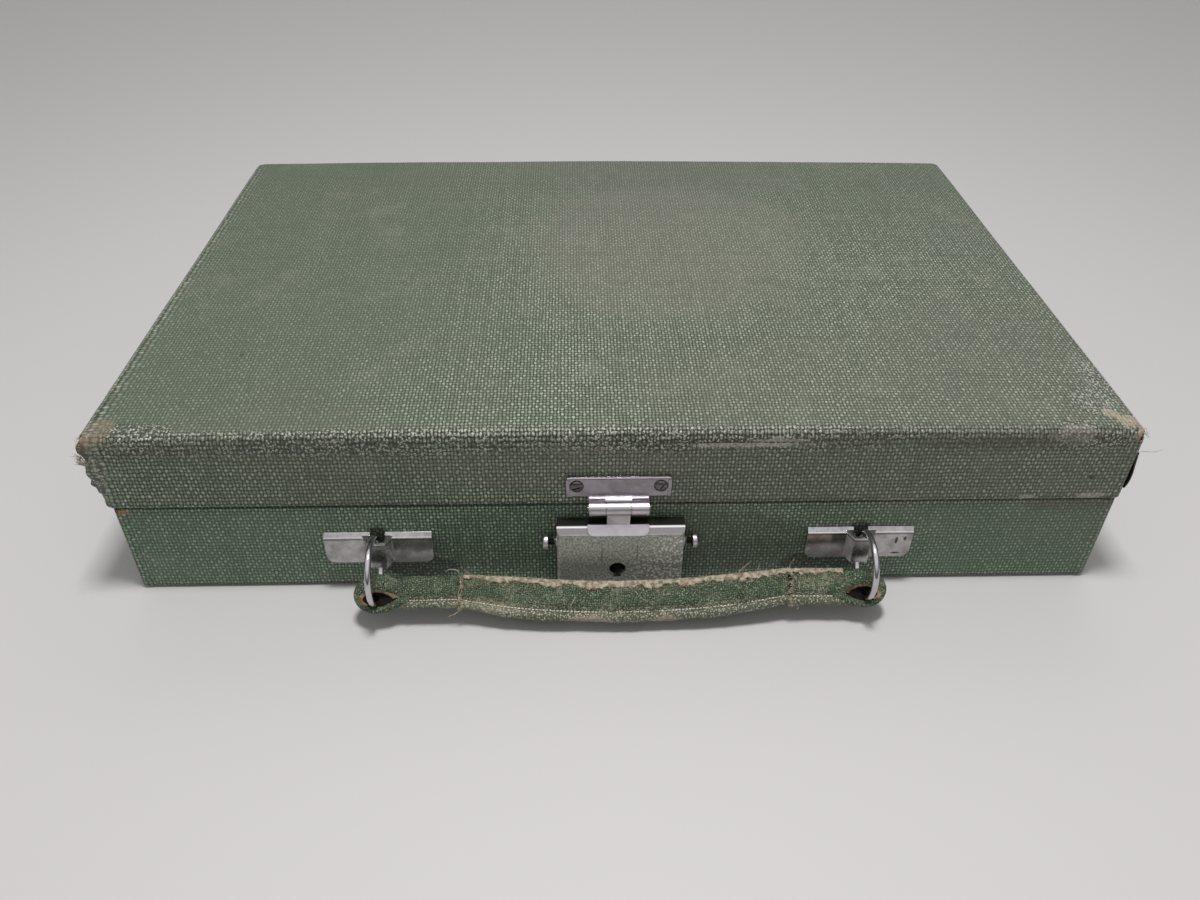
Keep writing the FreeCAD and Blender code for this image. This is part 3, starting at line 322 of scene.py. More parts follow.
def cover_material(name, node, threads, tones, marks, rub_strength, top_tones=None, glints=()):
    """Green cover cloth of the case, worn pale along the box's edges (partly painted highlight on the thread crests
    there), with its stains, the painted shade and painted sheen among its marks, and painted glints.
    """
    material, w, shader = new_material(name, 0.5, specular=0.5)
    low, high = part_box(node)
    place = w.place()
    x, y, z = w.split(place)
    rubbed = w.use(box_edges, Place=place, Centre=(low + high) / 2, Half=(high - low) / 2, Reach=4.2 * MM)["Edge"]
    if top_tones:
        top = w.ramp(z, high.z - 2.6 * MM, high.z - 0.8 * MM)
        drift = w.math("ADD", x, w.math("MULTIPLY", w.noise(place, 12.0, 3.0), 0.12))
        plain = w.math("MAXIMUM", w.ramp(drift, 0.04, -0.04, 0.0, 0.6), w.ramp(y, 0.0, 0.1, 0.0, 0.45))
        plain = w.math("MAXIMUM", plain, w.math("MULTIPLY", w.ramp(drift, 0.04, -0.04), w.ramp(y, 0.03, 0.1, 0.0, 0.8)))
        top_tones = [w.mix(plain, top_tone, top_tones[1]) for top_tone in top_tones]
        tones = [w.mix(top, side_tone, top_tone) for side_tone, top_tone in zip(tones, top_tones)]
        rubbed = w.math("MULTIPLY", rubbed, w.ramp(z, high.z - 8 * MM, high.z - 4 * MM))
    else:
        aside = w.ramp(w.math("ABSOLUTE", x), 70 * MM, 120 * MM, 0.0, 0.42)
        tones = [w.mix(aside, tone, tones[1]) for tone in tones]
    colour, cloth_weave = woven_colour(w, w.chart(), threads, 0.95, *tones)
    broad = w.noise(place, 7.0, 3.0, 0.55)
    colour = w.mix(w.ramp(broad, 0.42, 0.66, 0.0, 0.35), colour, rgb(104, 98, 90))
    fine = w.noise(place, 55.0, 4.0, 0.65)
    colour = w.mix(w.ramp(fine, 0.5, 0.8, 0.0, 0.22), colour, rgb(150, 152, 134))
    broken = w.ramp(w.noise(place, 240.0, 4.0, 0.65), 0.34, 0.62)
    rub = w.math("MULTIPLY", w.math("MULTIPLY", rubbed, broken), rub_strength)
    # Pale thread crests along the rubbed edges: worn threads, partly painted highlight.
    sparkle = w.math("MULTIPLY", rub, w.math("ADD", w.math("MULTIPLY", cloth_weave["Crest"], 0.6), 0.05))
    colour = w.mix(sparkle, colour, rgb(206, 204, 190))
    between = w.math("MULTIPLY", w.math("MULTIPLY", rubbed, cloth_weave["Gap"]), 0.8)
    colour = w.mix(between, colour, rgb(30, 30, 24))
    # Painted glints: bright specks, with dark specks among them, along the lid's front top edge and at the glint
    # places; at the corners they also stand for worn pale fibres.
    speck = w.cells(place, 1150.0)
    bright_speck = w.ramp(speck, 0.4, 0.18)
    dark_speck = w.ramp(speck, 0.42, 0.6)
    glint = 0.0
    if top_tones:
        front_strip = w.math("MULTIPLY", w.ramp(y, low.y + 3.4 * MM, low.y + 1.6 * MM),
                             w.ramp(z, high.z - 9.5 * MM, high.z - 5 * MM))
        glint = w.math("MULTIPLY", front_strip, w.ramp(w.noise(place, 30.0, 3.0, 0.6), 0.34, 0.6, 0.3, 1.0))
    for centre, size in glints:
        near = w.use(patch, Place=place, Centre=centre, Size=size, Ragged=1.6, Grain=200.0)["Patch"]
        glint = w.math("MAXIMUM", glint, near)
    if glint:
        colour = w.mix(w.math("MULTIPLY", w.math("MULTIPLY", glint, dark_speck), 0.6), colour, rgb(40, 40, 32))
        colour = w.mix(w.math("MULTIPLY", w.math("MULTIPLY", glint, bright_speck), 0.8), colour,
                       rgb(208, 206, 194))
    crumbs = w.ramp(w.noise(place, 900.0, 3.0, 0.7), 0.38, 0.6)
    for centre, size, tint, strength, ragged, grain, woven in marks:
        worn = w.use(patch, Place=place, Centre=centre, Size=size, Ragged=ragged, Grain=grain)["Patch"]
        bare = w.math("MULTIPLY", w.math("ADD", w.math("MULTIPLY", crumbs, 0.5), 0.5), 1.0 - woven)
        threads_left = w.math("MAXIMUM", w.math("MULTIPLY", cloth_weave["Crest"], crumbs), bare)
        colour = w.mix(w.math("MULTIPLY", w.math("MULTIPLY", worn, threads_left), strength), colour, tint)
    w.feed(shader.inputs["Base Color"], colour)
    gloss = w.ramp(cloth_weave["Height"], 0.35, 1.1, 0.66, 0.38)
    w.feed(shader.inputs["Roughness"], w.math("SUBTRACT", gloss, w.math("MULTIPLY", rubbed, 0.1)))
    undulation = w.bump(w.noise(place, 60.0, 3.0), 0.4 * MM)
    w.feed(shader.inputs["Normal"], w.bump(cloth_weave["Height"], 0.32 * MM, 1.0, undulation))
    shader.inputs["Sheen Weight"].default_value = 0.08
    shader.inputs["Sheen Roughness"].default_value = 0.4
    return material


def mark(x, y, z, size, tint, strength=0.8, ragged=1.0, grain=220.0, woven=0.0):
    """One place on the cover, in millimetres: worn, stained, painted shade, or painted sheen; woven is how far it keeps
    to the threads' crests.
    """
    return Vector((x, y, z)) * MM, Vector(size) * MM, tint, strength, ragged, grain, woven


def glint_mark(x, y, z, size):
    """A place and its reach, in millimetres: on the cover, a patch of painted glints as bright and dark specks; on the
    nickel, a dark place.
    """
    return Vector((x, y, z)) * MM, Vector(size) * MM


bare_cotton = rgb(186, 172, 148)
pale_rub = rgb(172, 170, 160)
# Dark tone for small real stains, also used for painted shade in the seams and at the plates' bridges.
dark_stain_and_shade = rgb(30, 28, 22)
red_board = rgb(96, 44, 24)

lid_stains_and_painted_light = [
    mark(-163, -106, 65, (5.5, 6, 5), rgb(158, 134, 112), 0.65, 2.1, 420.0, 0.4),
    mark(-167, -110, 62, (3, 3, 3), rgb(150, 122, 96), 0.85, 1.3, 420.0),
    mark(-167.2, -109.6, 61.5, (2.4, 2.6, 2.0), rgb(62, 34, 20), 1.0, 0.9, 500.0),
    mark(-167.0, -110.3, 58.6, (1.8, 2.2, 1.6), rgb(52, 28, 17), 1.0, 0.9, 500.0),
    mark(105, -109.5, 63, (56, 4, 4), rgb(62, 67, 56), 0.35, 1.6, 120.0, 0.0),
    mark(157, -101.5, 65.5, (2.6, 2.4, 3), bare_cotton, 0.95, 1.6, 520.0, 0.25),
    mark(161, -105.5, 65, (3.4, 3.2, 3), bare_cotton, 0.95, 1.5, 520.0, 0.2),
    mark(164.6, -109.6, 63, (2.4, 3, 3), rgb(176, 156, 130), 0.9, 1.2, 520.0),
    mark(165.2, -110.2, 61.0, (2.2, 2.0, 1.9), rgb(84, 40, 24), 1.0, 0.7, 500.0),
    mark(154, -95, 65, (6, 7, 4), rgb(196, 196, 188), 0.6, 2.2, 380.0, 0.85),
    mark(160, -82, 65, (4, 16, 4), rgb(186, 186, 178), 0.6, 2.4, 320.0, 0.9),
    mark(143, -110, 63, (7, 4, 3.4), rgb(170, 160, 154), 0.7, 2.6, 420.0, 0.5),
    mark(122, -110.5, 59.5, (26, 4, 2.6), rgb(70, 62, 54), 0.6, 2.2, 380.0, 0.3),
    mark(38, -110.5, 60.6, (22, 2.4, 0.8), rgb(196, 190, 180), 0.9, 2.8, 520.0, 0.2),
    mark(50, -110.5, 62.2, (10, 2.4, 0.7), rgb(196, 190, 180), 0.85, 2.6, 520.0, 0.3),
    mark(28, -111, 61.6, (30, 2, 0.35), dark_stain_and_shade, 0.8, 1.4, 200.0),
    mark(-166, -110.5, 50, (4.5, 4, 15), rgb(122, 128, 116), 0.6, 2.0, 300.0, 0.35),
    # Painted shade: a dark line along the lid's lower edge at the seam.
    mark(-60, -111, 36.8, (108, 2, 0.6), dark_stain_and_shade, 0.9, 0.8, 100.0),
    mark(-110, -111, 52, (50, 3, 16), rgb(56, 70, 54), 0.2, 1.2, 26.0, 0.0),
    mark(155, -110.5, 38.3, (5, 3, 1.2), rgb(186, 182, 172), 0.9, 2.4, 520.0, 0.3),
    mark(134, -110.5, 37.8, (3, 3, 0.9), rgb(186, 182, 172), 0.8, 2.4, 520.0, 0.3),
    mark(92, -110.5, 37.4, (7, 3, 0.5), rgb(176, 172, 160), 0.6, 2.4, 520.0, 0.3),
    mark(-27, 10, 65, (2.0, 1.7, 1.5), dark_stain_and_shade, 0.8, 1.5, 500.0, 0.2),
    mark(-114, -110.5, 40.6, (0.9, 2, 0.8), dark_stain_and_shade, 0.8),
    mark(-129, -64, 65, (0.9, 1.1, 1), dark_stain_and_shade, 0.7),
    mark(153, -110.5, 46, (1.2, 2, 0.7), dark_stain_and_shade, 0.85),
    # Painted sheen: a broad pale grey patch over the middle of the lid's top, where the top reflects light.
    mark(20, 20, 65, (60, 70, 3), rgb(126, 119, 110), 0.4, 1.2, 14.0, 0.0),
    mark(-20, -111, 52, (46, 3, 9), rgb(112, 104, 94), 0.35, 1.4, 26.0, 0.0),
    mark(34, 58, 65, (16, 0.5, 1), rgb(176, 176, 164), 0.6, 1.2, 120.0, 0.5),
    mark(42, 22, 65, (12, 0.45, 1), rgb(176, 176, 164), 0.6, 1.2, 120.0, 0.5),
    mark(-56, -38, 65, (2, 0.9, 1), rgb(170, 172, 158), 0.6, 1.2, 120.0, 0.4),
]

lid_glints = [
    glint_mark(153, -95, 65, (6, 8, 4)),
    glint_mark(160, -84, 65, (3.5, 14, 4)),
    glint_mark(143, -109, 63, (9, 5, 4)),
    glint_mark(-150, -107, 64, (12, 4, 3)),
    glint_mark(-166, -110.5, 52, (3.4, 3.4, 14)),
    glint_mark(40, -110, 62, (26, 4, 2.2)),
    glint_mark(86, -110, 64, (10, 5, 2)),
]

base_stains_and_painted_shade = [
    mark(-162.8, -109.4, 34.9, (3.0, 3, 1.5), rgb(174, 116, 78), 0.85, 1.7, 520.0, 0.3),
    mark(-164.6, -110.5, 35.4, (1.4, 2, 1.2), rgb(64, 28, 15), 1.0, 0.8, 500.0),
    mark(150, -110, 34, (16, 3, 3), rgb(86, 74, 64), 0.6, 2.0, 260.0, 0.2),
    # Painted shade: the middle of the base front is darkened where the handle keeps the floor's light off it.
    mark(0, -110, 20, (70, 3, 16), rgb(46, 54, 40), 0.5, 1.0, 16.0, 0.0),
    # Painted shade: near-black under the ring plates, behind the handle.
    mark(-68, -110, 8.5, (13, 2.5, 5), rgb(18, 22, 14), 0.88, 0.6, 120.0),
    mark(68, -110, 8.5, (13, 2.5, 5), rgb(18, 22, 14), 0.88, 0.6, 120.0),
    mark(0, -110, 1.0, (170, 3, 1.1), rgb(52, 54, 44), 0.6, 0.8, 60.0, 0.0),
    # Painted shade: a dark line in the seam gap under the lid's edge.
    mark(-30, -110.4, 35.9, (134, 2, 0.5), dark_stain_and_shade, 0.75, 0.8, 100.0),
    # Painted shade: dark in the notch behind each plate's bridge and under it.
    mark(-81, -110, 23.6, (4.2, 2.5, 3.6), dark_stain_and_shade, 0.9, 0.5, 300.0),
    mark(81, -110, 23.6, (4.2, 2.5, 3.6), dark_stain_and_shade, 0.9, 0.5, 300.0),
    mark(-81, -110, 12.4, (4.6, 2.5, 2.6), dark_stain_and_shade, 0.6, 0.5, 300.0),
    mark(81, -110, 12.4, (4.6, 2.5, 2.6), dark_stain_and_shade, 0.6, 0.5, 300.0),
]


def plain_weave_material(name, tones, pitch, roughness=0.7, wander=0.4, blotch=None):
    """A simple woven cloth on the piece's own chart."""
    material, w, shader = new_material(name, roughness, specular=0.3)
    colour, cloth_weave = woven_colour(w, w.chart(), (pitch, pitch, 1.0), wander, *tones)
    if blotch is not None:
        colour = w.mix(w.ramp(w.noise(w.place(), 22.0, 4.0), 0.45, 0.8, 0.0, 0.5), colour, blotch)
    w.feed(shader.inputs["Base Color"], colour)
    w.feed(shader.inputs["Normal"], w.bump(cloth_weave["Height"], pitch * 0.2, 0.8))
    shader.inputs["Sheen Weight"].default_value = 0.15
    return material


def board_material():
    """Thin wooden board with its grain along X."""
    material, w, shader = new_material("bare_board", 0.7)
    place = w.vector("MULTIPLY", w.place(), (18.0, 420.0, 420.0))
    grain = w.noise(place, 1.0, 4.0, 0.6)
    colour = w.mix(w.ramp(grain, 0.3, 0.7), rgb(74, 34, 20), rgb(150, 92, 56))
    w.feed(shader.inputs["Base Color"], colour)
    w.feed(shader.inputs["Normal"], w.bump(grain, 0.2 * MM, 0.5))
    return material


def nickel_material(name, base, roughness=0.14, pits=0.8, cloud=0.8, relief=0.02 * MM, metallic=1.0, ridge=None,
                    marks=(), collar=None, pebbled=None):
    """Nickel plate, dulled by handling. A ridge at a height gets a painted highlight line, with painted shade
    under it; marks are dark places, past the collar's reach along X the metal is darker, and below the pebbled
    height it is pitted all over, with painted glint dots, a painted highlight line on the bevel and painted shade on
    the top."""
    material, w, shader = new_material(name, roughness, metallic)
    place = w.place()
    x, _, z = w.split(place)
    wear = w.use(plating, Place=place, Pits=pits, Cloud=cloud)
    tarnish = w.ramp(w.noise(place, 320.0, 4.0, 0.65), 0.4, 0.7, 0.0, 0.5 * cloud)
    dulled = tuple(level * 0.45 for level in base[:3]) + (1.0,)
    colour = w.mix(tarnish, base, dulled)
    colour = w.mix(wear["Stain"], colour, rgb(74, 64, 52))
    if ridge is not None:
        # Painted highlight: a bright line along the ridge; painted shade: a dark band just under it.
        ridge_highlight = w.band(z, ridge - 0.05 * MM, ridge + 0.2 * MM, 0.12 * MM)
        ridge_shade = w.band(z, ridge - 0.75 * MM, ridge - 0.3 * MM, 0.2 * MM)
        colour = w.mix(w.math("MULTIPLY", ridge_shade, 0.6), colour, rgb(64, 60, 56))
        colour = w.mix(w.math("MULTIPLY", ridge_highlight, 0.8), colour, rgb(236, 233, 236))
    for centre, size in marks:
        spot = w.use(patch, Place=place, Centre=centre, Size=size, Ragged=0.7, Grain=700.0)["Patch"]
        colour = w.mix(w.math("MULTIPLY", spot, 0.85), colour, rgb(44, 38, 30))
    height = wear["Height"]
    if pebbled is not None:
        fine = w.noise(w.vector("MULTIPLY", place, (1.0, 1.0, 0.7)), 1500.0, 2.0, 0.6)
        face = w.ramp(z, pebbled, pebbled - 0.5 * MM)
        colour = w.mix(w.math("MULTIPLY", w.ramp(fine, 0.4, 0.56), face), colour, rgb(138, 145, 130))
        # Painted glints: bright dots on the lock's pitted face, more of them towards the lower right.
        worn = w.ramp(w.math("SUBTRACT", x, z), -22 * MM, 4 * MM, 0.15, 1.0)
        glint_dots = w.math("MULTIPLY", w.ramp(w.cells(place, 850.0), 0.5, 0.26), worn)
        colour = w.mix(w.math("MULTIPLY", glint_dots, face), colour, rgb(236, 236, 228))
        colour = w.mix(w.ramp(z, pebbled, pebbled + 0.3 * MM, 0.0, 0.75), colour, rgb(132, 126, 132))
        # Painted highlight: a bright thin line along the top edge of the lock's bevel.
        colour = w.mix(w.band(z, pebbled + 1.75 * MM, pebbled + 2.1 * MM, 0.1 * MM), colour, rgb(250, 248, 250))
        # Painted shade: the lock's top above the bevel is dark, under the lid and hasp.
        colour = w.mix(w.ramp(z, pebbled + 2.2 * MM, pebbled + 2.32 * MM), colour, rgb(38, 38, 34))
        height = w.math("SUBTRACT", height, w.math("MULTIPLY", fine, face))
    if collar is not None:
        outside = w.ramp(w.math("ABSOLUTE", w.math("SUBTRACT", x, collar[0])), collar[1], collar[1] + 0.2 * MM)
        colour = w.mix(outside, colour, rgb(56, 54, 48))
    w.feed(shader.inputs["Base Color"], colour)
    w.feed(shader.inputs["Roughness"], w.math("ADD", wear["Roughness"], roughness))
    w.feed(shader.inputs["Normal"], w.bump(height, relief, 1.0))
    return material


def mirror_material():
    """Silvered glass with slight old specks."""
    material, w, shader = new_material("old_mirror", 0.02, 1.0)
    specks = w.ramp(w.cells(w.place(), 160.0), 0.07, 0.02)
    w.feed(shader.inputs["Base Color"], w.mix(specks, rgb(236, 238, 236), rgb(120, 112, 96)))
    w.feed(shader.inputs["Roughness"], w.ramp(w.noise(w.place(), 30.0, 3.0), 0.5, 0.9, 0.01, 0.08))
    return material


def fibre_material(name, pale, dark):
    """Loose cotton fibre."""
    material, w, shader = new_material(name, 0.85, specular=0.2)
    tone = w.noise(w.place(), 700.0, 2.0)
    w.feed(shader.inputs["Base Color"], w.mix(w.ramp(tone, 0.3, 0.7), dark, pale))
    return material


def handle_material():
    """Green handle cloth with painted glint specks; its front roll is worn pale, with bright specks that are partly
    worn threads and partly painted highlight.
    """
    material, w, shader = new_material("handle_cloth_worn", 0.5, specular=0.55)
    chart = w.chart()
    place = w.place()
    tones = (rgb(22, 32, 19), rgb(60, 79, 54), rgb(124, 143, 108))
    colour, cloth_weave = woven_colour(w, chart, (0.72 * MM, 0.78 * MM, 1.0), 2.8, *tones)
    # Painted glints: pale specks scattered over the handle cloth, with dark specks.
    speck = w.cells(place, 1500.0)
    shown = w.ramp(w.noise(place, 420.0, 3.0, 0.6), 0.42, 0.6)
    colour = w.mix(w.math("MULTIPLY", w.ramp(speck, 0.4, 0.15, 0.0, 0.6), shown), colour, rgb(176, 182, 156))
    colour = w.mix(w.ramp(speck, 0.5, 0.7, 0.0, 0.5), colour, rgb(22, 28, 18))
    _, along, _ = w.split(chart)
    crumbs = w.ramp(w.noise(place, 900.0, 3.0, 0.7), 0.4, 0.62)
    rough_line = w.math("ADD", along, w.math("MULTIPLY", w.math("SUBTRACT", w.noise(place, 160.0, 3.0), 0.5),
                                             2.4 * MM))
    roll = w.math("MULTIPLY", w.ramp(rough_line, 9.4 * MM, 11.0 * MM), w.ramp(rough_line, 16.5 * MM, 14.0 * MM))
    grey = w.mix(w.math("MULTIPLY", roll, 0.6), colour, rgb(104, 104, 86))
    # Bright specks on the front roll: worn threads, partly painted highlight.
    bright = w.math("MULTIPLY", w.math("MULTIPLY", roll, w.ramp(speck, 0.45, 0.2)), 0.85)
    colour = w.mix(bright, grey, rgb(214, 212, 196))
    blotch = w.math("MULTIPLY", w.ramp(w.noise(place, 110.0, 4.0, 0.6), 0.5, 0.72), crumbs)
    colour = w.mix(w.math("MULTIPLY", blotch, 0.55), colour, rgb(168, 164, 138))
    canvas_left = w.use(patch, Place=place, Centre=(-0.012, -0.1335, 0.0045), Size=(0.009, 0.003, 0.003),
                        Ragged=1.5, Grain=400.0)["Patch"]
    canvas_right = w.use(patch, Place=place, Centre=(0.0145, -0.1335, 0.0045), Size=(0.004, 0.003, 0.003),
                         Ragged=1.5, Grain=400.0)["Patch"]
    canvas_torn = w.use(patch, Place=place, Centre=(-0.046, -0.130, 0.0085), Size=(0.012, 0.003, 0.004),
                        Ragged=2.2, Grain=300.0)["Patch"]
    bare = w.math("MULTIPLY", w.math("MAXIMUM", canvas_left, canvas_right), 0.6)
    colour = w.mix(bare, colour, rgb(170, 154, 134))
    torn = w.math("MULTIPLY", canvas_torn, w.ramp(crumbs, 0.2, 0.8, 0.25, 1.0))
    colour = w.mix(w.math("MULTIPLY", torn, 0.6), colour, rgb(176, 168, 142))
    w.feed(shader.inputs["Base Color"], colour)
    w.feed(shader.inputs["Roughness"], w.ramp(cloth_weave["Height"], 0.4, 1.1, 0.62, 0.34))
    folds = w.bump(w.noise(place, 260.0, 4.0), 0.8 * MM)
    w.feed(shader.inputs["Normal"], w.bump(cloth_weave["Height"], 0.26 * MM, 1.0, folds))
    return material


lid_tones = (rgb(34, 43, 31), rgb(86, 100, 79), rgb(176, 189, 162))
lid_top_tones = (rgb(38, 46, 33), rgb(82, 94, 74), rgb(178, 186, 166))
base_tones = (rgb(29, 46, 32), rgb(81, 107, 81), rgb(180, 204, 174))
lid_cover = cover_material("lid_cover_cloth", "lid_wall_cloth", lid_threads, lid_tones, lid_stains_and_painted_light, 1.0,
                           lid_top_tones, lid_glints)
base_cover = cover_material("base_cover_cloth", "base_wall_cloth", base_threads, base_tones, base_stains_and_painted_shade, 0.25)
board = board_material()
lining_tones = (rgb(120, 96, 66), rgb(184, 158, 120), rgb(208, 186, 150))
lining = plain_weave_material("lining_cloth", lining_tones, 0.5 * MM, blotch=rgb(166, 136, 98))
nickel = nickel_material("dulled_nickel", rgb(156, 152, 154), 0.2, 1.0, 0.8, 0.03 * MM)
plate_marks = [glint_mark(93.6, -112, 20.2, (0.5, 2, 1.5)), glint_mark(96.4, -112, 21.0, (0.5, 2, 0.9)),
               glint_mark(94.2, -112, 14.4, (1.5, 2, 0.4))]
nickel_plate = nickel_material("plate_nickel", rgb(190, 187, 188), 0.2, 1.0, 0.9, 0.03 * MM, ridge=23.8 * MM,
                               marks=plate_marks)
nickel_hasp = nickel_material("hasp_nickel", rgb(152, 147, 153), 0.18, 0.5, 0.7, 0.004 * MM, ridge=48.55 * MM)
nickel_bright = nickel_material("bright_nickel", rgb(198, 192, 198), 0.3, 0.4, 0.4, 0.001 * MM)
nickel_ring = nickel_material("ring_nickel", rgb(206, 202, 208), 0.09, 0.2, 0.3, 0.008 * MM)
lock_scores = [glint_mark(-6.4, -116, 19, (0.25, 3, 6)), glint_mark(5.4, -116, 19, (0.25, 3, 6))]
nickel_lock = nickel_material("pitted_nickel", rgb(192, 190, 187), 0.34, 0.6, 0.5, 0.14 * MM, metallic=0.4,
                              marks=lock_scores, collar=(-0.2 * MM, 21.35 * MM), pebbled=27.8 * MM)
# Near-black, painted as shade inside the keyhole and on the button stems.
shade_black = fibre_material("painted_shade_black", rgb(16, 14, 12), rgb(8, 7, 6))
steel = nickel_material("plated_steel", rgb(168, 164, 158), 0.26, 0.9, 1.0)
screw_steel = nickel_material("screw_steel", rgb(112, 108, 108), 0.2, 0.6, 0.8)
steel_dark = nickel_material("dirty_steel", rgb(58, 54, 50), 0.4, 0.9, 1.0)
brass = nickel_material("dull_brass", rgb(176, 138, 84), 0.3, 0.8, 1.0)
mirror = mirror_material()
handle_cloth = handle_material()
raw_canvas = fibre_material("raw_canvas", rgb(194, 184, 164), rgb(128, 114, 94))
bead_thread = fibre_material("bead_thread", rgb(232, 228, 212), rgb(186, 180, 160))
tan_inside = fibre_material("tan_inside", rgb(170, 146, 120), rgb(104, 80, 60))
# Dark cloth: painted shade in the eyes' holes and pockets, also the lifted corner flap's faces.
dark_cloth_and_shade = fibre_material("dark_cloth_and_shade", rgb(30, 22, 16), rgb(12, 9, 7))
grey_edge = fibre_material("grey_edge", rgb(112, 114, 104), rgb(48, 50, 42))
red_core = fibre_material("red_brown_core", rgb(112, 58, 34), rgb(52, 24, 14))
tape_tones = (rgb(84, 66, 44), rgb(140, 116, 82), rgb(170, 148, 112))
tape = plain_weave_material("woven_tape", tape_tones, 0.6 * MM)


# Making pieces

def new_piece(bm, name, body, materials, sharp=35):
    """Turns a bmesh into a piece that rides on a body."""
    mesh = bpy.data.meshes.new(name)
    bm.to_mesh(mesh)
    bm.free()
    piece = bpy.data.objects.new(name, mesh)
    bpy.context.scene.collection.objects.link(piece)
    for material in materials:
        mesh.materials.append(material)
    mesh.polygons.foreach_set("use_smooth", [True] * len(mesh.polygons))
    mesh.set_sharp_from_angle(angle=math.radians(sharp))
    if body is not None:
        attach(piece, body)
    return piece


def modifier(piece, kind, name, **settings):
    made = piece.modifiers.new(name, kind)
    for key, value in settings.items():
        setattr(made, key, value)
    return made


def softened_copy(node, name, body, material, edge, segments=2, sharp=30, charted=False):
    """The CAD node's shape with its sharp edges rounded over, and a chart in metres where it is cloth."""
    bm = bmesh.new()
    bm.from_mesh(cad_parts[node].data)
    bmesh.ops.remove_doubles(bm, verts=bm.verts, dist=0.001 * MM)
    bmesh.ops.dissolve_limit(bm, angle_limit=math.radians(1), verts=bm.verts, edges=bm.edges)
    if charted:
        layer = bm.loops.layers.uv.new("chart")
        for face in bm.faces:
            across, along = flat_axes(face.normal)
            for corner in face.loops:
                corner[layer].uv = (corner.vert.co[across], corner.vert.co[along])
    piece = new_piece(bm, name, body, [material], sharp)
    modifier(piece, "BEVEL", "rounded edges", width=edge, segments=segments, limit_method="ANGLE",
             angle_limit=math.radians(sharp), harden_normals=True)
    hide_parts(node)
    return piece


def paint(node, material):
    """Gives a CAD node its material."""
    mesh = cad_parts[node].data
    mesh.materials.clear()
    mesh.materials.append(material)


def flat_axes(normal):
    """The two axes that lie in a face which looks along the third."""
    x, y, z = (abs(part) for part in normal)
    if z >= x and z >= y:
        return 0, 1
    if y >= x:
        return 0, 2
    return 1, 2


# Cloth over the lid and the base

def rounded_box(low, high, edge_radius, at_top):
    """A box with round upright corners and one round outer edge; the other end is left open."""
    bm = bmesh.new()
    bmesh.ops.create_cube(bm, size=1)
    bmesh.ops.scale(bm, vec=high - low, verts=bm.verts)
    bmesh.ops.translate(bm, vec=(low + high) / 2, verts=bm.verts)
    upright = [e for e in bm.edges if abs(e.verts[0].co.z - e.verts[1].co.z) > 1e-6]
    bmesh.ops.bevel(bm, geom=upright, offset=upright_radius, segments=8, profile=0.5, affect="EDGES",
                    material=-1)
    level = high.z if at_top else low.z
    rim = [e for e in bm.edges if all(abs(v.co.z - level) < 1e-6 for v in e.verts)]
    bmesh.ops.bevel(bm, geom=rim, offset=edge_radius, segments=6, profile=0.5, affect="EDGES", material=-1)
    open_level = low.z if at_top else high.z
    lid_face = [f for f in bm.faces if all(abs(v.co.z - open_level) < 1e-6 for v in f.verts)]
    bmesh.ops.delete(bm, geom=lid_face, context="FACES_ONLY")
    return bm


def slice_box(bm, axis, places):
    """Cuts the mesh across one axis at each place."""
    for place in places:
        point = Vector((0, 0, 0))
        point[axis] = place
        normal = Vector((0, 0, 0))
        normal[axis] = 1
        geom = bm.verts[:] + bm.edges[:] + bm.faces[:]
        bmesh.ops.bisect_plane(bm, geom=geom, dist=1e-7, plane_co=point, plane_no=normal)


def steps(low, high, pitch):
    """Evenly spaced places between two ends, the ends left out."""
    count = max(1, round((high - low) / pitch))
    return [low + (high - low) * i / count for i in range(1, count)]


def turned_rim(bm, level, inner, direction):
    """Turns the open end of the cloth in under the wall's edge and along its inner face."""
    outline = [e for e in bm.edges if e.is_boundary]
    made = bmesh.ops.extrude_edge_only(bm, edges=outline)
    under = [v for v in made["geom"] if isinstance(v, bmesh.types.BMVert)]
    inner = inner - Vector((turn_thickness, turn_thickness))
    for vert in under:
        vert.co.x = max(-inner.x, min(inner.x, vert.co.x))
        vert.co.y = max(-inner.y, min(inner.y, vert.co.y))
    bmesh.ops.remove_doubles(bm, verts=under, dist=0.001 * MM)
    inside = [e for e in bm.edges if e.is_boundary]
    made = bmesh.ops.extrude_edge_only(bm, edges=inside)
    raised = [v for v in made["geom"] if isinstance(v, bmesh.types.BMVert)]
    bmesh.ops.translate(bm, vec=Z_AXIS * direction * turn_in, verts=raised)
    rim = [e for e in outline if e.is_valid]
    bmesh.ops.bevel(bm, geom=rim, offset=0.8 * MM, segments=4, profile=0.5, affect="EDGES", material=-1)
    bmesh.ops.recalc_face_normals(bm, faces=bm.faces)


def around_corner(value, half):
    """A coordinate along a wall, with the corner's round measured along its curve."""
    flat = half - upright_radius
    if abs(value) <= flat:
        return value
    share = min(1.0, (abs(value) - flat) / upright_radius)
    return math.copysign(flat + upright_radius * math.asin(share), value)


def unrolled(place, face_centre, half, level, edge_radius, direction):
    """Chart position of a point on the cloth: metres along the threads, as if it lay flat."""
    x, y = place.x, place.y
    depth = max(0.0, direction * (level - place.z))
    if depth < edge_radius:
        drop = edge_radius * math.acos(1 - depth / edge_radius)
    else:
        drop = edge_radius * math.pi / 2 + depth - edge_radius
    sideways = abs(face_centre.x) - half.x > abs(face_centre.y) - half.y
    if sideways:
        if abs(x) > half.x - edge_radius:
            x = math.copysign(half.x - edge_radius + drop, x)
        return x, around_corner(y, half.y)
    if abs(y) > half.y - edge_radius:
        y = math.copysign(half.y - edge_radius + drop, y)
    return around_corner(x, half.x), y


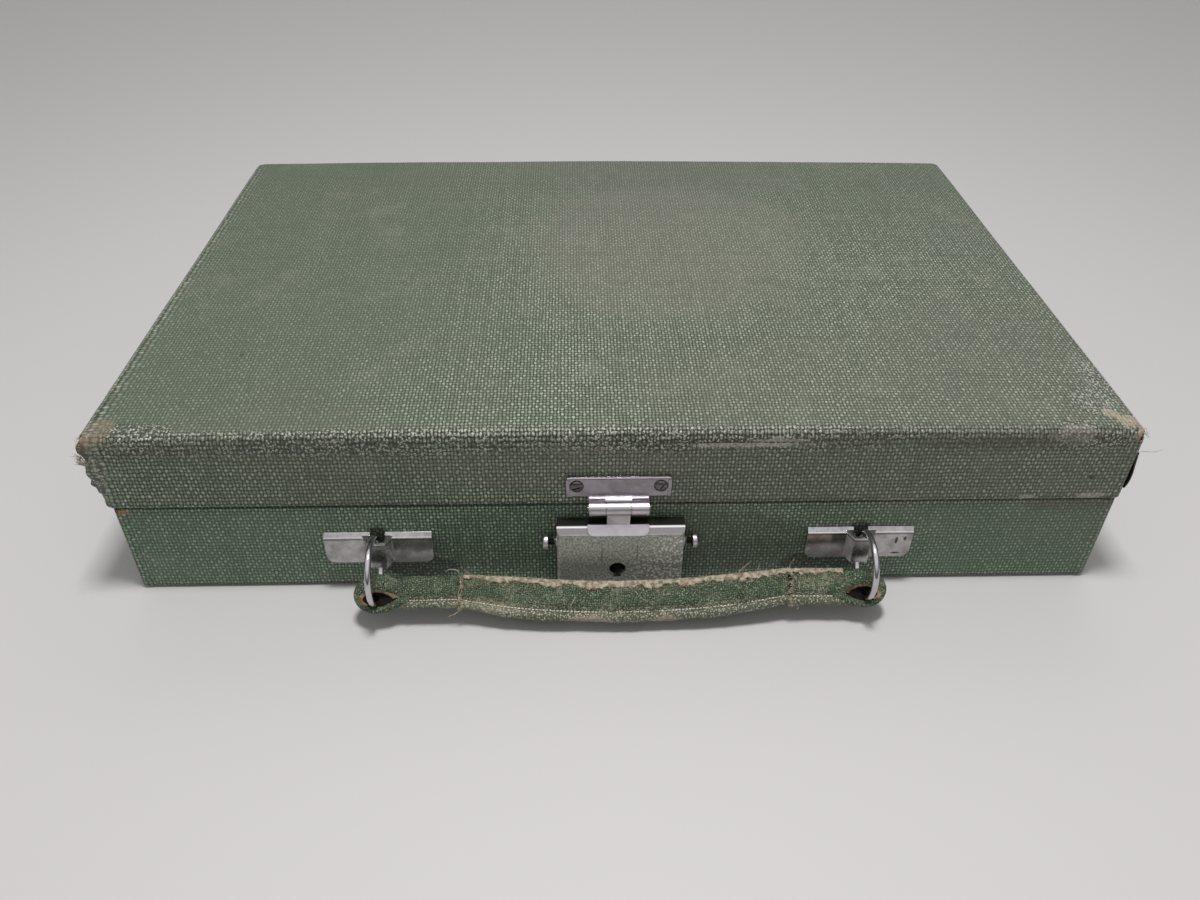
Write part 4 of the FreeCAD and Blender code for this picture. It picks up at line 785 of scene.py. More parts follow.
def chart_cover(bm, half, level, edge_radius, direction):
    """Writes the chart of a cloth shell."""
    layer = bm.loops.layers.uv.new("chart")
    for face in bm.faces:
        centre = face.calc_center_median()
        for corner in face.loops:
            corner[layer].uv = unrolled(corner.vert.co, centre, half, level, edge_radius, direction)


def ripple(place, scale, seed):
    """Smooth noise from -1 to 1 at a place; the scale is waves per metre."""
    return noise.noise(place * scale + Vector((seed, seed * 0.7, seed * 1.3)))


def corner_nearness(place, half):
    """0 away from the upright corners of a box, 1 at the middle of a corner's round."""
    from_corner = math.hypot(half.x - abs(place.x), half.y - abs(place.y))
    round_gap = upright_radius * (math.sqrt(2) - 1)
    return min(1.0, max(0.0, (upright_radius - from_corner) / (upright_radius - round_gap)))


def uneven(bm, amount, half, seed, rim_level):
    """Slight unevenness of cloth glued on board, drawn out to nearly sharp corners at the front. The rim and
    the turned-in cloth stay flat."""
    bm.normal_update()
    moves = []
    for vert in bm.verts:
        place = vert.co
        from_rim = abs(place.z - rim_level)
        inside = abs(place.x) < half.x - wall + 0.1 * MM and abs(place.y) < half.y - wall + 0.1 * MM
        free = 0.0 if inside and from_rim < turn_in + 0.1 * MM else smooth_share(from_rim, 0.2 * MM, 3 * MM)
        push = amount * free * (0.7 * ripple(place, 22, seed) + 0.3 * ripple(place, 90, seed + 5))
        move = vert.normal * push
        if place.y < 0 and vert.normal.to_2d().length > 0.2:
            outward = Vector((math.copysign(1, place.x), -1, 0)).normalized()
            move += outward * corner_push * corner_nearness(place, half)
        moves.append(move)
    for vert, move in zip(bm.verts, moves):
        vert.co += move


def smooth_share(value, low, high):
    """A smooth step of a value between low and high."""
    share = min(1.0, max(0.0, (value - low) / (high - low)))
    return share * share * (3 - 2 * share)


def swell_lid(bm, low, high, half):
    """Crowned top, left side standing out a little, and the crumpled fold down the left front corner."""
    for vert in bm.verts:
        place = vert.co
        rise = smooth_share(place.z, low.z + 4 * MM, high.z)
        leftness = smooth_share(-place.x, half.x - 5 * MM, half.x - 1 * MM)
        place.z += crown * (1 - (place.x / half.x) ** 2) * smooth_share(place.z, high.z - 6 * MM, high.z - 1 * MM)
        place.x -= side_swell * leftness * (0.18 + 0.82 * rise) * (1 - 0.35 * (place.y + half.y) / (2 * half.y))
        from_left = place.x + half.x + side_swell
        from_front = place.y + half.y
        reach = (6.5 - 2.5 * smooth_share(high.z - place.z, 0.0, 22 * MM)) * MM
        band = smooth_share(reach - max(from_left, from_front), 0.0, 2.2 * MM)
        lower = smooth_share(high.z - place.z, 2 * MM, 6 * MM)
        if band > 0 and min(from_left, from_front) < 2.5 * MM and place.z > low.z - 0.1 * MM:
            lumps = 0.7 * ripple(place, 240, 31) + 0.5 * ripple(place, 520, 37)
            fade = smooth_share(place.z, low.z, low.z + 2 * MM)
            outward = Vector((-0.8, -0.6, 0))
            place += outward * band * fade * (0.35 * lower + lumps * (0.4 + 0.6 * lower)) * 1.9 * MM


def tear(bm, centre, size, seed):
    """Removes the cloth inside a ragged hole round a point; the size is its reach along each axis."""
    gone = []
    for face in bm.faces:
        middle = face.calc_center_median()
        away = middle - centre
        reach = Vector((away.x / size[0], away.y / size[1], away.z / size[2])).length
        if reach < 1 + 0.5 * ripple(middle, 700, seed):
            gone.append(face)
    bmesh.ops.delete(bm, geom=gone, context="FACES")


def fine_steps(edge, inward, reach, pitch):
    """Places close together from an edge inwards."""
    count = int(reach / pitch)
    return [edge + inward * pitch * (i + 0.5) for i in range(count)]


def make_lid_cover():
    low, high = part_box("lid_wall_cloth")
    half = (high - low) / 2
    rim_level = low.z - turn_thickness
    bm = rounded_box(Vector((low.x, low.y, rim_level)), high, top_edge_radius, True)
    turned_rim(bm, rim_level, Vector((half.x - wall, half.y - wall)), 1)
    slice_box(bm, 0, steps(low.x, high.x, 7 * MM))
    slice_box(bm, 1, steps(low.y, high.y, 7 * MM))
    slice_box(bm, 2, steps(rim_level, high.z, 3.2 * MM))
    for side in (-1, 1):
        slice_box(bm, 0, fine_steps(side * half.x, -side, 8 * MM, 0.5 * MM))
    slice_box(bm, 1, fine_steps(-half.y, 1, 8 * MM, 0.5 * MM))
    slice_box(bm, 2, fine_steps(high.z, -1, 27 * MM, 0.7 * MM))
    chart_cover(bm, half, high.z, top_edge_radius, 1)
    uneven(bm, 0.22 * MM, half, 3, rim_level)
    swell_lid(bm, Vector((low.x, low.y, rim_level)), high, half)
    left = -half.x - side_swell
    tear(bm, Vector((left + 0.7 * MM, -half.y + 1.8 * MM, high.z - 3.6 * MM)), (1.3 * MM, 1.7 * MM, 3.4 * MM), 2)
    tear(bm, Vector((half.x - 0.6 * MM, -half.y + 0.8 * MM, high.z - 2.8 * MM)), (2 * MM, 1.6 * MM, 1.7 * MM), 6)
    piece = new_piece(bm, "lid_cloth_cover", "lid", [lid_cover, raw_canvas], 50)
    modifier(piece, "SOLIDIFY", "cloth thickness", thickness=0.45 * MM, offset=-1, material_offset_rim=1)
    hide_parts("lid_wall_cloth", "lid_top_cloth")


def make_base_cover():
    low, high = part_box("base_wall_cloth")
    half = (high - low) / 2
    rim_level = high.z + turn_thickness
    bm = rounded_box(low, Vector((high.x, high.y, rim_level)), bottom_edge_radius, False)
    turned_rim(bm, rim_level, Vector((half.x - wall, half.y - wall)), -1)
    slice_box(bm, 0, steps(low.x, high.x, 7 * MM))
    slice_box(bm, 1, steps(low.y, high.y, 7 * MM))
    slice_box(bm, 2, steps(low.z, rim_level, 3.2 * MM))
    for side in (-1, 1):
        slice_box(bm, 0, fine_steps(side * half.x, -side, 9 * MM, 0.9 * MM))
    chart_cover(bm, half, low.z, bottom_edge_radius, -1)
    uneven(bm, 0.16 * MM, half, 8, rim_level)
    tear(bm, Vector((-half.x + 0.5 * MM, -half.y + 0.6 * MM, high.z - 0.8 * MM)), (1.3 * MM, 1.3 * MM, 1.1 * MM), 3)
    piece = new_piece(bm, "base_cloth_cover", "base", [base_cover, raw_canvas], 50)
    modifier(piece, "SOLIDIFY", "cloth thickness", thickness=0.45 * MM, offset=-1, material_offset_rim=1)
    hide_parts("base_wall_cloth", "base_bottom_cloth")


# Handle

handle_across = Vector((0, -math.cos(handle_tilt), -math.sin(handle_tilt)))
handle_normal = Vector((0, -math.sin(handle_tilt), math.cos(handle_tilt)))


def bow_share(x):
    """How far the handle's line has come back towards the case: 0 in the middle, 1 at the rings."""
    away = abs(x)
    if away < crease:
        return 1.1 * (away / crease) ** 2
    return 1.1 - 0.1 * (away - crease) / (handle_half_span - crease)


def breadth(x):
    """The handle's breadth beside its full one: the sleeves are drawn in, the left one more."""
    drawn_in = 0.82 if x < 0 else 0.9
    away = abs(x)
    if away < crease:
        return 1 + (drawn_in - 1) * smooth_share(away, 34 * MM, crease)
    return drawn_in + (1 - drawn_in) * smooth_share(away, 72.5 * MM, 78 * MM)


def handle_point(x, across, out):
    """A point of the handle: x along it, across it towards its front edge, and out of its top face."""
    share = bow_share(x)
    middle = handle_middle + Vector((x, handle_bow_out * share, handle_bow_down * share))
    return middle + handle_across * across * breadth(x) + handle_normal * out


def spline_point(outline, turn):
    """A point on a smooth closed line through the outline's points, for a turn from 0 to 1."""
    count = len(outline)
    at = (turn % 1.0) * count
    index = int(at)
    share = at - index
    before, here, after, later = (Vector(outline[(index + k) % count]) for k in (-1, 0, 1, 2))
    return (2 * here + (after - before) * share
            + (2 * before - 5 * here + 4 * after - later) * share ** 2
            + (3 * here - before - 3 * after + later) * share ** 3) / 2


grip_outline = ((-6.5, 0.4), (-6.0, 1.5), (-4.2, 2.5), (-1.5, 2.95), (1.0, 2.7), (2.6, 1.9), (3.5, 1.35),
                (4.3, 1.65), (5.3, 1.7), (6.2, 1.0), (6.5, 0.0), (6.0, -1.0), (4.6, -1.5), (2.5, -2.2),
                (0.0, -2.8), (-3.0, -2.8), (-5.4, -1.9), (-6.4, -0.7))


def grip_section(turn):
    """Section of the padded handle with its stitched front roll: (across, out) for a turn from 0 to 1."""
    return spline_point(grip_outline, turn) * MM


def make_grip(name, left, right, node, seed):
    """One stretch of the handle's cloth cover."""
    rows = max(8, int((right - left) / (0.7 * MM)))
    turns = 96
    bm = bmesh.new()
    bmesh.ops.create_grid(bm, x_segments=rows, y_segments=turns, size=0.5)
    layer = bm.loops.layers.uv.new("chart")
    path = [0.0]
    for i in range(turns):
        path.append(path[-1] + (grip_section((i + 1) / turns) - grip_section(i / turns)).length)
    for face in bm.faces:
        for corner in face.loops:
            place = corner.vert.co
            turn = place.y + 0.5
            corner[layer].uv = (left + (right - left) * (place.x + 0.5), path[round(turn * turns)])
    for vert in bm.verts:
        share = vert.co.x + 0.5
        turn = vert.co.y + 0.5
        across, out = grip_section(turn)
        x = left + (right - left) * share
        flat = Vector((x, across * 1.7, out * 1.7))
        end = min(share, 1 - share) * (right - left)
        if end < 1.6 * MM:
            x += 0.8 * MM * ripple(flat, 900, seed) * (1 - end / (1.6 * MM))
        swell = 1 + 0.05 * ripple(flat, 80, seed) + 0.05 * ripple(flat, 300, seed + 2)
        swell -= 0.06 * max(0.0, 1 - end / (2.5 * MM)) ** 2
        lift = 0.12 * MM * ripple(flat, 700, seed + 4)
        vert.co = handle_point(x, across * swell, out * swell + lift * (1 if out > 0 else 0))
    bmesh.ops.remove_doubles(bm, verts=bm.verts, dist=0.001 * MM)
    bmesh.ops.recalc_face_normals(bm, faces=bm.faces)
    piece = new_piece(bm, name, "handle", [handle_cloth, raw_canvas], 60)
    modifier(piece, "SOLIDIFY", "cloth thickness", thickness=0.55 * MM, offset=-1, material_offset_rim=1)
    if node:
        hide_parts(node)
    return piece


def make_core():
    """The red-brown fibre core, seen in the torn gaps; it follows the cover's line."""
    bm = bmesh.new()
    bmesh.ops.create_cube(bm, size=1)
    for axis, count in ((0, 120), (1, 6)):
        slice_box(bm, axis, [i / count - 0.5 for i in range(1, count)])
    for vert in bm.verts:
        x = vert.co.x * 140 * MM
        rough = 1 + 0.05 * ripple(Vector((x, vert.co.y * 0.01, vert.co.z * 0.01)), 700, 6)
        across = vert.co.y * 9.6 * MM * rough
        out = (vert.co.z * 1.6 - 0.3) * MM * rough
        vert.co = handle_point(x, across, out)
    piece = new_piece(bm, "handle_fibre_core", "handle", [red_core], 50)
    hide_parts("handle_core")
    return piece


eye_section = ((0.0, 0.0), (0.0, 1.1), (0.1, 1.95), (0.36, 2.3), (0.66, 2.3), (0.9, 2.0), (1.0, 1.3), (1.0, 0.4),
               (1.0, -0.5), (1.0, -1.4), (0.94, -2.0), (0.66, -2.3), (0.32, -2.3), (0.08, -1.7))


def eye_place(angle, inward, out):
    """A point between the eye's outer outline (inward 0) and its hole (inward 1), at a height in its thickness."""
    outer_reach = 7.2 if math.cos(angle) > 0 else 13.5
    outer = Vector((outer_reach * math.cos(angle), 0.1 + 6.4 * math.sin(angle)))
    depth = min(1.0, max(0.0, (2.3 - out) / 4.6))
    funnel = min(1.0, depth / 0.75) ** 0.85
    hole_reach = 6.1 - 4.7 * funnel if math.cos(angle) > 0 else 8.3 - 6.9 * funnel
    half_breadth = 2.8 - 1.45 * funnel
    point = 1.0 if math.cos(angle) > 0 else 1 - 0.6 * math.cos(angle) ** 2 * (1 - depth)
    hole = Vector((hole_reach * math.cos(angle), 2.1 - 1.1 * depth + half_breadth * math.sin(angle) * point))
    return outer * (1 - inward) + hole * inward


def make_eye(side, word, node):
    """The flat loop at a handle's end that the ring passes through; its hole narrows round the ring."""
    rounds = 80
    turns = 56
    bm = bmesh.new()
    bmesh.ops.create_grid(bm, x_segments=rounds, y_segments=turns, size=0.5)
    layer = bm.loops.layers.uv.new("chart")
    for face in bm.faces:
        middle = face.calc_center_median()
        inward, out = spline_point(eye_section, middle.y + 0.5)
        angle = (middle.x + 0.5) * math.tau
        bare = math.sin(angle) < 0.1 or math.cos(angle) > 0.55
        # Painted shade: faces deep in the hole take the dark cloth; only the upper bare rim shows tan.
        if inward > 0.93:
            face.material_index = 1 if bare and out > 1.1 else 2
        for corner in face.loops:
            angle = (corner.vert.co.x + 0.5) * math.tau
            inward, out = spline_point(eye_section, corner.vert.co.y + 0.5)
            flat = eye_place(angle, inward, out)
            corner[layer].uv = (flat.x * MM, (flat.y + out) * MM)
    for vert in bm.verts:
        angle = (vert.co.x + 0.5) * math.tau
        inward, out = spline_point(eye_section, vert.co.y + 0.5)
        flat = eye_place(angle, inward, out)
        rear_dome = 0.5 * max(0.0, -math.sin(angle)) * math.sin(math.pi * min(1.0, inward)) if out > 0 else 0
        place = handle_point(side * (eye_middle + flat.x * MM), flat.y * MM, (out + rear_dome) * MM)
        crumple = 0.35 if side < 0 else 0.75
        rough = ripple(place, 260, side * 3) * crumple + 0.2 * ripple(place, 800, side * 7)
        vert.co = place + handle_normal * rough * 0.5 * MM * (1 if inward < 0.95 else 0.3)
    bmesh.ops.remove_doubles(bm, verts=bm.verts, dist=0.001 * MM)
    bmesh.ops.recalc_face_normals(bm, faces=bm.faces)
    piece = new_piece(bm, "handle_eye_" + word, "handle", [handle_cloth, tan_inside, dark_cloth_and_shade], 70)
    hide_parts(node)
    make_pocket(side, word)


def make_pocket(side, word):
    """A dark folded cloth that closes an eye's hole round the ring, put there as painted shade so the hole reads dark.
    """
    bm = bmesh.new()
    bmesh.ops.create_grid(bm, x_segments=48, y_segments=8, size=0.5)
    for vert in bm.verts:
        angle = (vert.co.x + 0.5) * math.tau
        share = vert.co.y + 0.5
        flat = eye_place(angle, 0.97, -0.2) * share + eye_place(0, 1, -0.2) * 0.2 * (1 - share)
        sunk = -0.2 - 1.5 * (1 - share ** 2) + 0.25 * ripple(Vector((flat.x, flat.y, 0)), 1.1, 9)
        vert.co = handle_point(side * (eye_middle + flat.x * MM), flat.y * MM, sunk * MM)
    bmesh.ops.remove_doubles(bm, verts=bm.verts, dist=0.001 * MM)
    bmesh.ops.recalc_face_normals(bm, faces=bm.faces)
    piece = new_piece(bm, "handle_eye_pocket_" + word, "handle", [dark_cloth_and_shade], 70)
    modifier(piece, "SOLIDIFY", "folded cloth", thickness=0.5 * MM, offset=0)


def strand(bm, points, radius, sides=4):
    """A thin fibre through the points."""
    previous = None
    for index, point in enumerate(points):
        ahead = points[min(index + 1, len(points) - 1)] - points[max(index - 1, 0)]
        turn = ahead.to_track_quat("Z", "Y").to_matrix().to_4x4()
        thick = radius * (0.35 if index == len(points) - 1 else 1.0)
        ring = bmesh.ops.create_circle(bm, segments=sides, radius=thick, matrix=Matrix.Translation(point) @ turn)
        loop = [e for e in {e for v in ring["verts"] for e in v.link_edges}]
        if previous is not None:
            bmesh.ops.bridge_loops(bm, edges=previous + loop)
        previous = loop


def seam_line(x, turn, lift):
    """A point just off the handle's section, near its rear top edge."""
    across, out = grip_section(turn)
    length = math.hypot(across, out)
    grown = (length + lift) / length
    return handle_point(x, across * grown, out * grown)


def make_frayed_seam():
    """Fibres of the raw canvas edge along the handle's rear seam."""
    random.seed(12)
    bm = bmesh.new()
    left = -52 * MM
    right = 73 * MM
    for _ in range(900):
        x = left + (right - left) * random.random()
        turn = random.uniform(0.0, 0.14)
        root = seam_line(x, turn, 0.3 * MM)
        length = (0.6 + 1.3 * random.random() ** 2) * MM
        lean = Vector((random.uniform(-1.3, 1.3), 0, 0))
        direction = (lean + handle_normal * random.uniform(-0.1, 0.5) - handle_across * random.uniform(-0.9, 0.9))
        direction.normalize()
        middle = root + direction * length * 0.5 + handle_normal * 0.15 * MM
        strand(bm, [root, middle, root + direction * length], random.uniform(0.05, 0.1) * MM, 3)
    for edge, direction in ((grip_left, -1), (grip_right, 1)):
        for _ in range(110):
            turn = random.uniform(0.02, 0.56)
            root = seam_line(edge + random.uniform(-0.6, 0.5) * MM * direction, turn, 0.15 * MM)
            reach = Vector((random.uniform(0.6, 1.7) * direction, 0, random.uniform(-0.4, 0.3))) * MM
            lean = handle_across * random.uniform(-0.9, 0.9) * MM
            strand(bm, [root, root + reach * 0.5 + lean * 0.3 + handle_normal * 0.1 * MM, root + reach + lean],
                   random.uniform(0.06, 0.12) * MM, 3)
    return new_piece(bm, "handle_seam_fibres", "handle", [raw_canvas], 80)


def make_seam_band():
    """The raw canvas band itself, uneven along its front edge."""
    bm = bmesh.new()
    bmesh.ops.create_grid(bm, x_segments=420, y_segments=9, size=0.5)
    left = -52.5 * MM
    right = 74 * MM
    for vert in bm.verts:
        x = left + (right - left) * (vert.co.x + 0.5)
        share = vert.co.y + 0.5
        along = Vector((x, 0, 0))
        width = 3.0 + 0.6 * ripple(along, 150, 4) + 0.5 * ripple(along, 620, 8) + 0.35 * ripple(along, 1900, 2)
        turn = (-1.2 + share * max(1.6, width)) / 18
        lift = (0.28 + 0.14 * ripple(Vector((x, share * 0.003, 0)), 800, 5)) * (1 - 0.7 * share ** 4)
        vert.co = seam_line(x, turn, lift * MM)
    piece = new_piece(bm, "handle_raw_seam", "handle", [raw_canvas], 80)
    modifier(piece, "SOLIDIFY", "canvas thickness", thickness=0.4 * MM, offset=-1)
    return piece


def make_stitches():
    """A sunk line of stitches behind the front roll, and the row of raised bead-like ones on it."""
    for name, across, out, pitch, share_on, thick, material in (
            ("handle_sunk_stitches", 2.2, 2.0, 2.3, 0.8, 0.1, raw_canvas),
            ("handle_bead_stitches", 3.4, 1.4, 1.15, 0.55, 0.3, bead_thread)):
        bm = bmesh.new()
        x = -71 * MM
        while x < 73 * MM:
            clear_left = x + pitch * MM < grip_left - left_gap or x > grip_left
            clear_right = x + pitch * MM < grip_right or x > grip_right + right_gap
            worn_off = ripple(Vector((x, across, 0)), 140, 3) > 0.25
            if clear_left and clear_right and not worn_off:
                points = []
                for step in range(5):
                    share = step / 4
                    lift = out + 0.25 * math.sin(share * math.pi)
                    points.append(handle_point(x + pitch * MM * share_on * share, across * MM, lift * MM))
                strand(bm, points, thick * MM * (0.8 + 0.3 * ripple(points[0], 900, 2)), 6)
            x += pitch * MM
        new_piece(bm, name, "handle", [material], 80)


def make_loose_threads():
    """Long loose threads at the torn gaps and along the seam; points are (x, across, out) in millimetres."""
    routes = [
        [(-53.4, -6.6, 1.4), (-54.6, -8.2, 2.8), (-57.0, -8.4, 3.0), (-58.2, -7.6, 2.4)],
        [(-53.4, -5.8, 2.4), (-53.0, -2.0, 3.2), (-53.8, 1.5, 2.6), (-53.4, 4.8, 2.0)],
        [(-52.6, -6.4, 1.2), (-51.2, -8.0, 1.8), (-52.4, -8.8, 1.4)],
        [(-53.2, 5.8, 1.2), (-53.6, 7.4, 0.4), (-55.2, 8.8, -0.8), (-57.4, 9.6, -1.6)],
        [(-53.4, -4.0, 2.6), (-52.6, -1.0, 2.9), (-53.4, 2.6, 2.3), (-54.4, 6.2, 1.0)],
        [(56.0, -6.4, 1.4), (56.6, -8.6, 2.8), (57.6, -10.0, 4.6)],
        [(56.2, -6.0, 2.0), (57.4, -3.0, 3.2), (58.6, 0.5, 3.0), (59.0, 2.6, 2.2)],
        [(56.0, -5.4, 2.2), (58.4, -2.4, 3.1), (59.2, 0.8, 2.6)],
        [(57.2, 5.6, 1.2), (58.4, 7.2, 0.4), (58.0, 8.2, -0.2)],
        [(38.6, -6.4, 1.2), (40.4, -8.4, 2.6), (41.6, -9.2, 3.6)],
        [(40.0, -6.4, 1.2), (41.2, -8.8, 3.2), (42.6, -9.8, 4.0)],
        [(45.0, -6.4, 1.2), (45.8, -8.6, 3.0), (46.0, -10.0, 4.2)],
        [(28.0, -6.4, 1.0), (28.4, -7.6, 2.0)],
        [(1.0, -5.6, 2.2), (4.0, -3.4, 3.0), (6.2, -1.0, 3.1), (8.4, 0.6, 3.0)],
        [(-15.0, -2.0, 3.05), (-16.2, 0.4, 2.9), (-17.4, 2.6, 2.1)],
    ]
    bm = bmesh.new()
    for route in routes:
        knots = [handle_point(x * MM, across * MM, out * MM) for x, across, out in route]
        strand(bm, smooth_line(knots, 5), 0.14 * MM, 5)
    return new_piece(bm, "handle_loose_threads", "handle", [raw_canvas], 80)


def smooth_line(knots, between):
    """Points along a smooth line through the knots."""
    ends = [knots[0] * 2 - knots[1]] + knots + [knots[-1] * 2 - knots[-2]]
    line = []
    for index in range(1, len(ends) - 2):
        before, here, after, later = ends[index - 1:index + 3]
        for step in range(between):
            share = step / between
            line.append((2 * here + (after - before) * share
                         + (2 * before - 5 * here + 4 * after - later) * share ** 2
                         + (3 * here - before - 3 * after + later) * share ** 3) / 2)
    line.append(knots[-1])
    return line


def make_ring(side, word):
    """A round wire ring spun about its own axis."""
    node = "ring_" + word
    low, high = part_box(node)
    centre = (low + high) / 2
    wire = (high.x - low.x) / 2
    radius = (high.y - low.y) / 2 - wire
    bm = bmesh.new()
    turn = Matrix.Rotation(math.pi / 2, 4, "X")
    made = bmesh.ops.create_circle(bm, segments=20, radius=wire,
                                   matrix=Matrix.Translation(centre + Z_AXIS * radius) @ turn
                                   @ Matrix.Rotation(0, 4, "Z"))
    bmesh.ops.rotate(bm, verts=made["verts"], cent=centre + Z_AXIS * radius,
                     matrix=Matrix.Rotation(0, 3, "X"))
    edges = list({e for v in made["verts"] for e in v.link_edges})
    bmesh.ops.spin(bm, geom=made["verts"] + edges, cent=centre, axis=X_AXIS, angle=math.tau, steps=96,
                   use_merge=True)
    bmesh.ops.recalc_face_normals(bm, faces=bm.faces)
    piece = new_piece(bm, "wire_ring_" + word, word + "_ring", [nickel_ring], 60)
    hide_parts(node)
    return piece


def make_corner_wear():
    """Frayed tuft at the left front corner, fibres round the holes, and the lifted flap and hair at the right."""
    random.seed(5)
    low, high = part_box("lid_wall_cloth")
    bm = bmesh.new()
    tuft = Vector((low.x - 2.5 * MM, low.y - 0.2 * MM, high.z - 8.4 * MM))
    for _ in range(46):
        root = tuft + Vector((random.uniform(-0.4, 1.2), random.uniform(-0.6, 0.4), random.uniform(-2.0, 1.8))) * MM
        direction = Vector((-random.random(), -0.5 * random.random(), random.uniform(0.3, 1.2))).normalized()
        length = random.uniform(1.0, 3.0) * MM
        bend = Vector((random.uniform(-0.3, 0.3), 0, random.uniform(-0.3, 0.3))) * MM
        strand(bm, [root, root + direction * length * 0.5 + bend, root + direction * length], 0.09 * MM, 3)
    for corner, count in ((Vector((low.x - 1.4 * MM, low.y + 0.6 * MM, high.z - 1.6 * MM)), 60),
                          (Vector((high.x - 0.6 * MM, low.y + 0.6 * MM, high.z - 1.4 * MM)), 70)):
        for _ in range(count):
            side = math.copysign(1, corner.x)
            root = corner + Vector((random.uniform(-2.2, 1.2) * side, random.uniform(-0.6, 3), random.uniform(-2, 0.6))) * MM
            direction = Vector((random.uniform(-1, 1), random.uniform(-1, 1), random.uniform(-0.3, 0.7))).normalized()
            length = random.uniform(0.4, 1.3) * MM
            strand(bm, [root, root + direction * length * 0.5, root + direction * length], 0.06 * MM, 3)
    hair = [(165.2, -110.3, 56.2), (167.4, -111.2, 56.9), (169.8, -111.4, 57.0), (172.0, -111.2, 57.8)]
    strand(bm, smooth_line([Vector(knot) * MM for knot in hair], 5), 0.1 * MM, 4)
    new_piece(bm, "corner_frayed_fibres", "lid", [raw_canvas], 80)
    bm = bmesh.new()
    bmesh.ops.create_grid(bm, x_segments=30, y_segments=8, size=0.5)
    for vert in bm.verts:
        down = vert.co.x + 0.5
        share = vert.co.y + 0.5
        bulge = max(0.0, math.sin(math.pi * min(1.0, down ** 1.7))) ** 0.8
        lift = share * (0.1 + 1.0 * bulge)
        vert.co = Vector((high.x / MM - 0.2 + lift, low.y / MM + 1.2 - 0.9 * share + 2.2 * (1 - share),
                          high.z / MM - 9.5 - 14.5 * down - 0.6 * share * bulge)) * MM
    flap = new_piece(bm, "corner_lifted_flap", "lid", [dark_cloth_and_shade, grey_edge], 60)
    modifier(flap, "SOLIDIFY", "cloth thickness", thickness=0.5 * MM, offset=0, material_offset_rim=1)


# Fittings, boards and linings

def make_button(word):
    """A side button of the lock: bright round head on a stem painted near-black as shade."""
    piece = softened_copy("button_" + word, "lock_button_" + word, word + "_button", nickel_bright, 0.2 * MM)
    piece.data.materials.append(shade_black)
    side = -1 if word == "left" else 1
    outermost = max(side * vert.co.x for vert in piece.data.vertices)
    # Painted shade: the stem behind the head gets the near-black.
    for face in piece.data.polygons:
        if side * face.center.x < outermost - 1.7 * MM:
            face.material_index = 1


def make_spring(word):
    """A folded leaf spring of the lock, pressed together between its lug and the button's bolt."""
    node = "button_spring_" + word
    piece = softened_copy(node, "lock_leaf_spring_" + word, None, steel, 0.03 * MM)
    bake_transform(piece)


def make_hasp_plate():
    """The hasp's fixed plate; its rolled lower part takes a lighter copy of the nickel as painted highlight."""
    piece = softened_copy("hasp_plate", "hasp_top_plate", "lid", nickel_hasp, 0.2 * MM, 3)
    piece.data.materials.append(nickel_bright)
    # Painted highlight: faces of the rolled knuckle part take the lighter nickel.
    for face in piece.data.polygons:
        if face.center.z < 40.6 * MM:
            face.material_index = 1


def make_tab_web():
    """The bend of the hasp plate's tab over the middle knuckle."""
    outline = ((-110.55, 38.2), (-110.55, 41.2), (-111.35, 41.2), (-111.45, 40.75), (-112.1, 40.6),
               (-112.7, 40.25), (-113.05, 39.85), (-112.9, 39.72), (-112.3, 39.66), (-111.7, 39.35), (-110.8, 38.2))
    bm = bmesh.new()
    corners = [bm.verts.new(Vector((-5.4, y, z)) * MM) for y, z in outline]
    side = bm.faces.new(corners)
    made = bmesh.ops.extrude_face_region(bm, geom=[side])["geom"]
    bmesh.ops.translate(bm, vec=X_AXIS * 8.6 * MM, verts=[v for v in made if isinstance(v, bmesh.types.BMVert)])
    bmesh.ops.recalc_face_normals(bm, faces=bm.faces)
    bmesh.ops.triangulate(bm, faces=[f for f in bm.faces if len(f.verts) > 4])
    new_piece(bm, "hasp_tab_web", "lid", [nickel_bright], 50)


def make_fittings():
    for word in ("left", "right"):
        softened_copy("handle_plate_" + word, "ring_plate_" + word, "base", nickel_plate, 0.25 * MM, 3)
        make_button(word)
        make_spring(word)
        for part, body in (("hinge_base_leaf_", "base"), ("hinge_lid_leaf_", "lid")):
            softened_copy(part + word, "rear_" + part + word, body, steel, 0.15 * MM)
    make_hasp_plate()
    softened_copy("hasp_flap", "hasp_hinged_flap", "hasp", nickel_bright, 0.2 * MM, 3)
    softened_copy("hasp_staple", "hasp_hook", "hasp", nickel, 0.15 * MM)
    softened_copy("lock_case", "lock_front_case", "base", nickel_lock, 0.3 * MM, 3)
    make_tab_web()
    paint("hasp_plate_screws", screw_steel)
    # Painted shade: the lock's inner parts seen through the keyhole are painted near-black.
    for node in ("lock_back_plate", "key_post", "lock_lever"):
        paint(node, shade_black)
    paint("lock_rivets", steel_dark)
    for node in ("handle_plate_rivets", "hasp_pin"):
        paint(node, nickel)
    for node in ("lock_bolt_left", "lock_bolt_right", "hinge_pins", "hinge_base_screws", "hinge_lid_screws"):
        paint(node, steel)
    for node in ("ribbon_base_tacks", "ribbon_lid_tacks"):
        paint(node, brass)


def ribbon_points(count):
    """The stay ribbon's line at rest, (y, z): it lies straight when the lid is fully open."""
    start = Vector((-ribbon_reach, -ribbon_spread))
    rest_end = Vector((-ribbon_reach, ribbon_spread))
    end = turned_open(rest_end, lid_opening)
    line = []
    for index in range(count + 1):
        opened = start.lerp(end, index / count)
        low, high = 0.0, 1.0
        for _ in range(40):
            follow = (low + high) / 2
            place = turned_open(opened, -follow * lid_opening)
            wanted = smooth_share(place.y, -ribbon_spread, ribbon_spread)
            if wanted > follow:
                low = follow
            else:
                high = follow
        line.append((hinge_y + place.x, hinge_z + place.y))
    return line


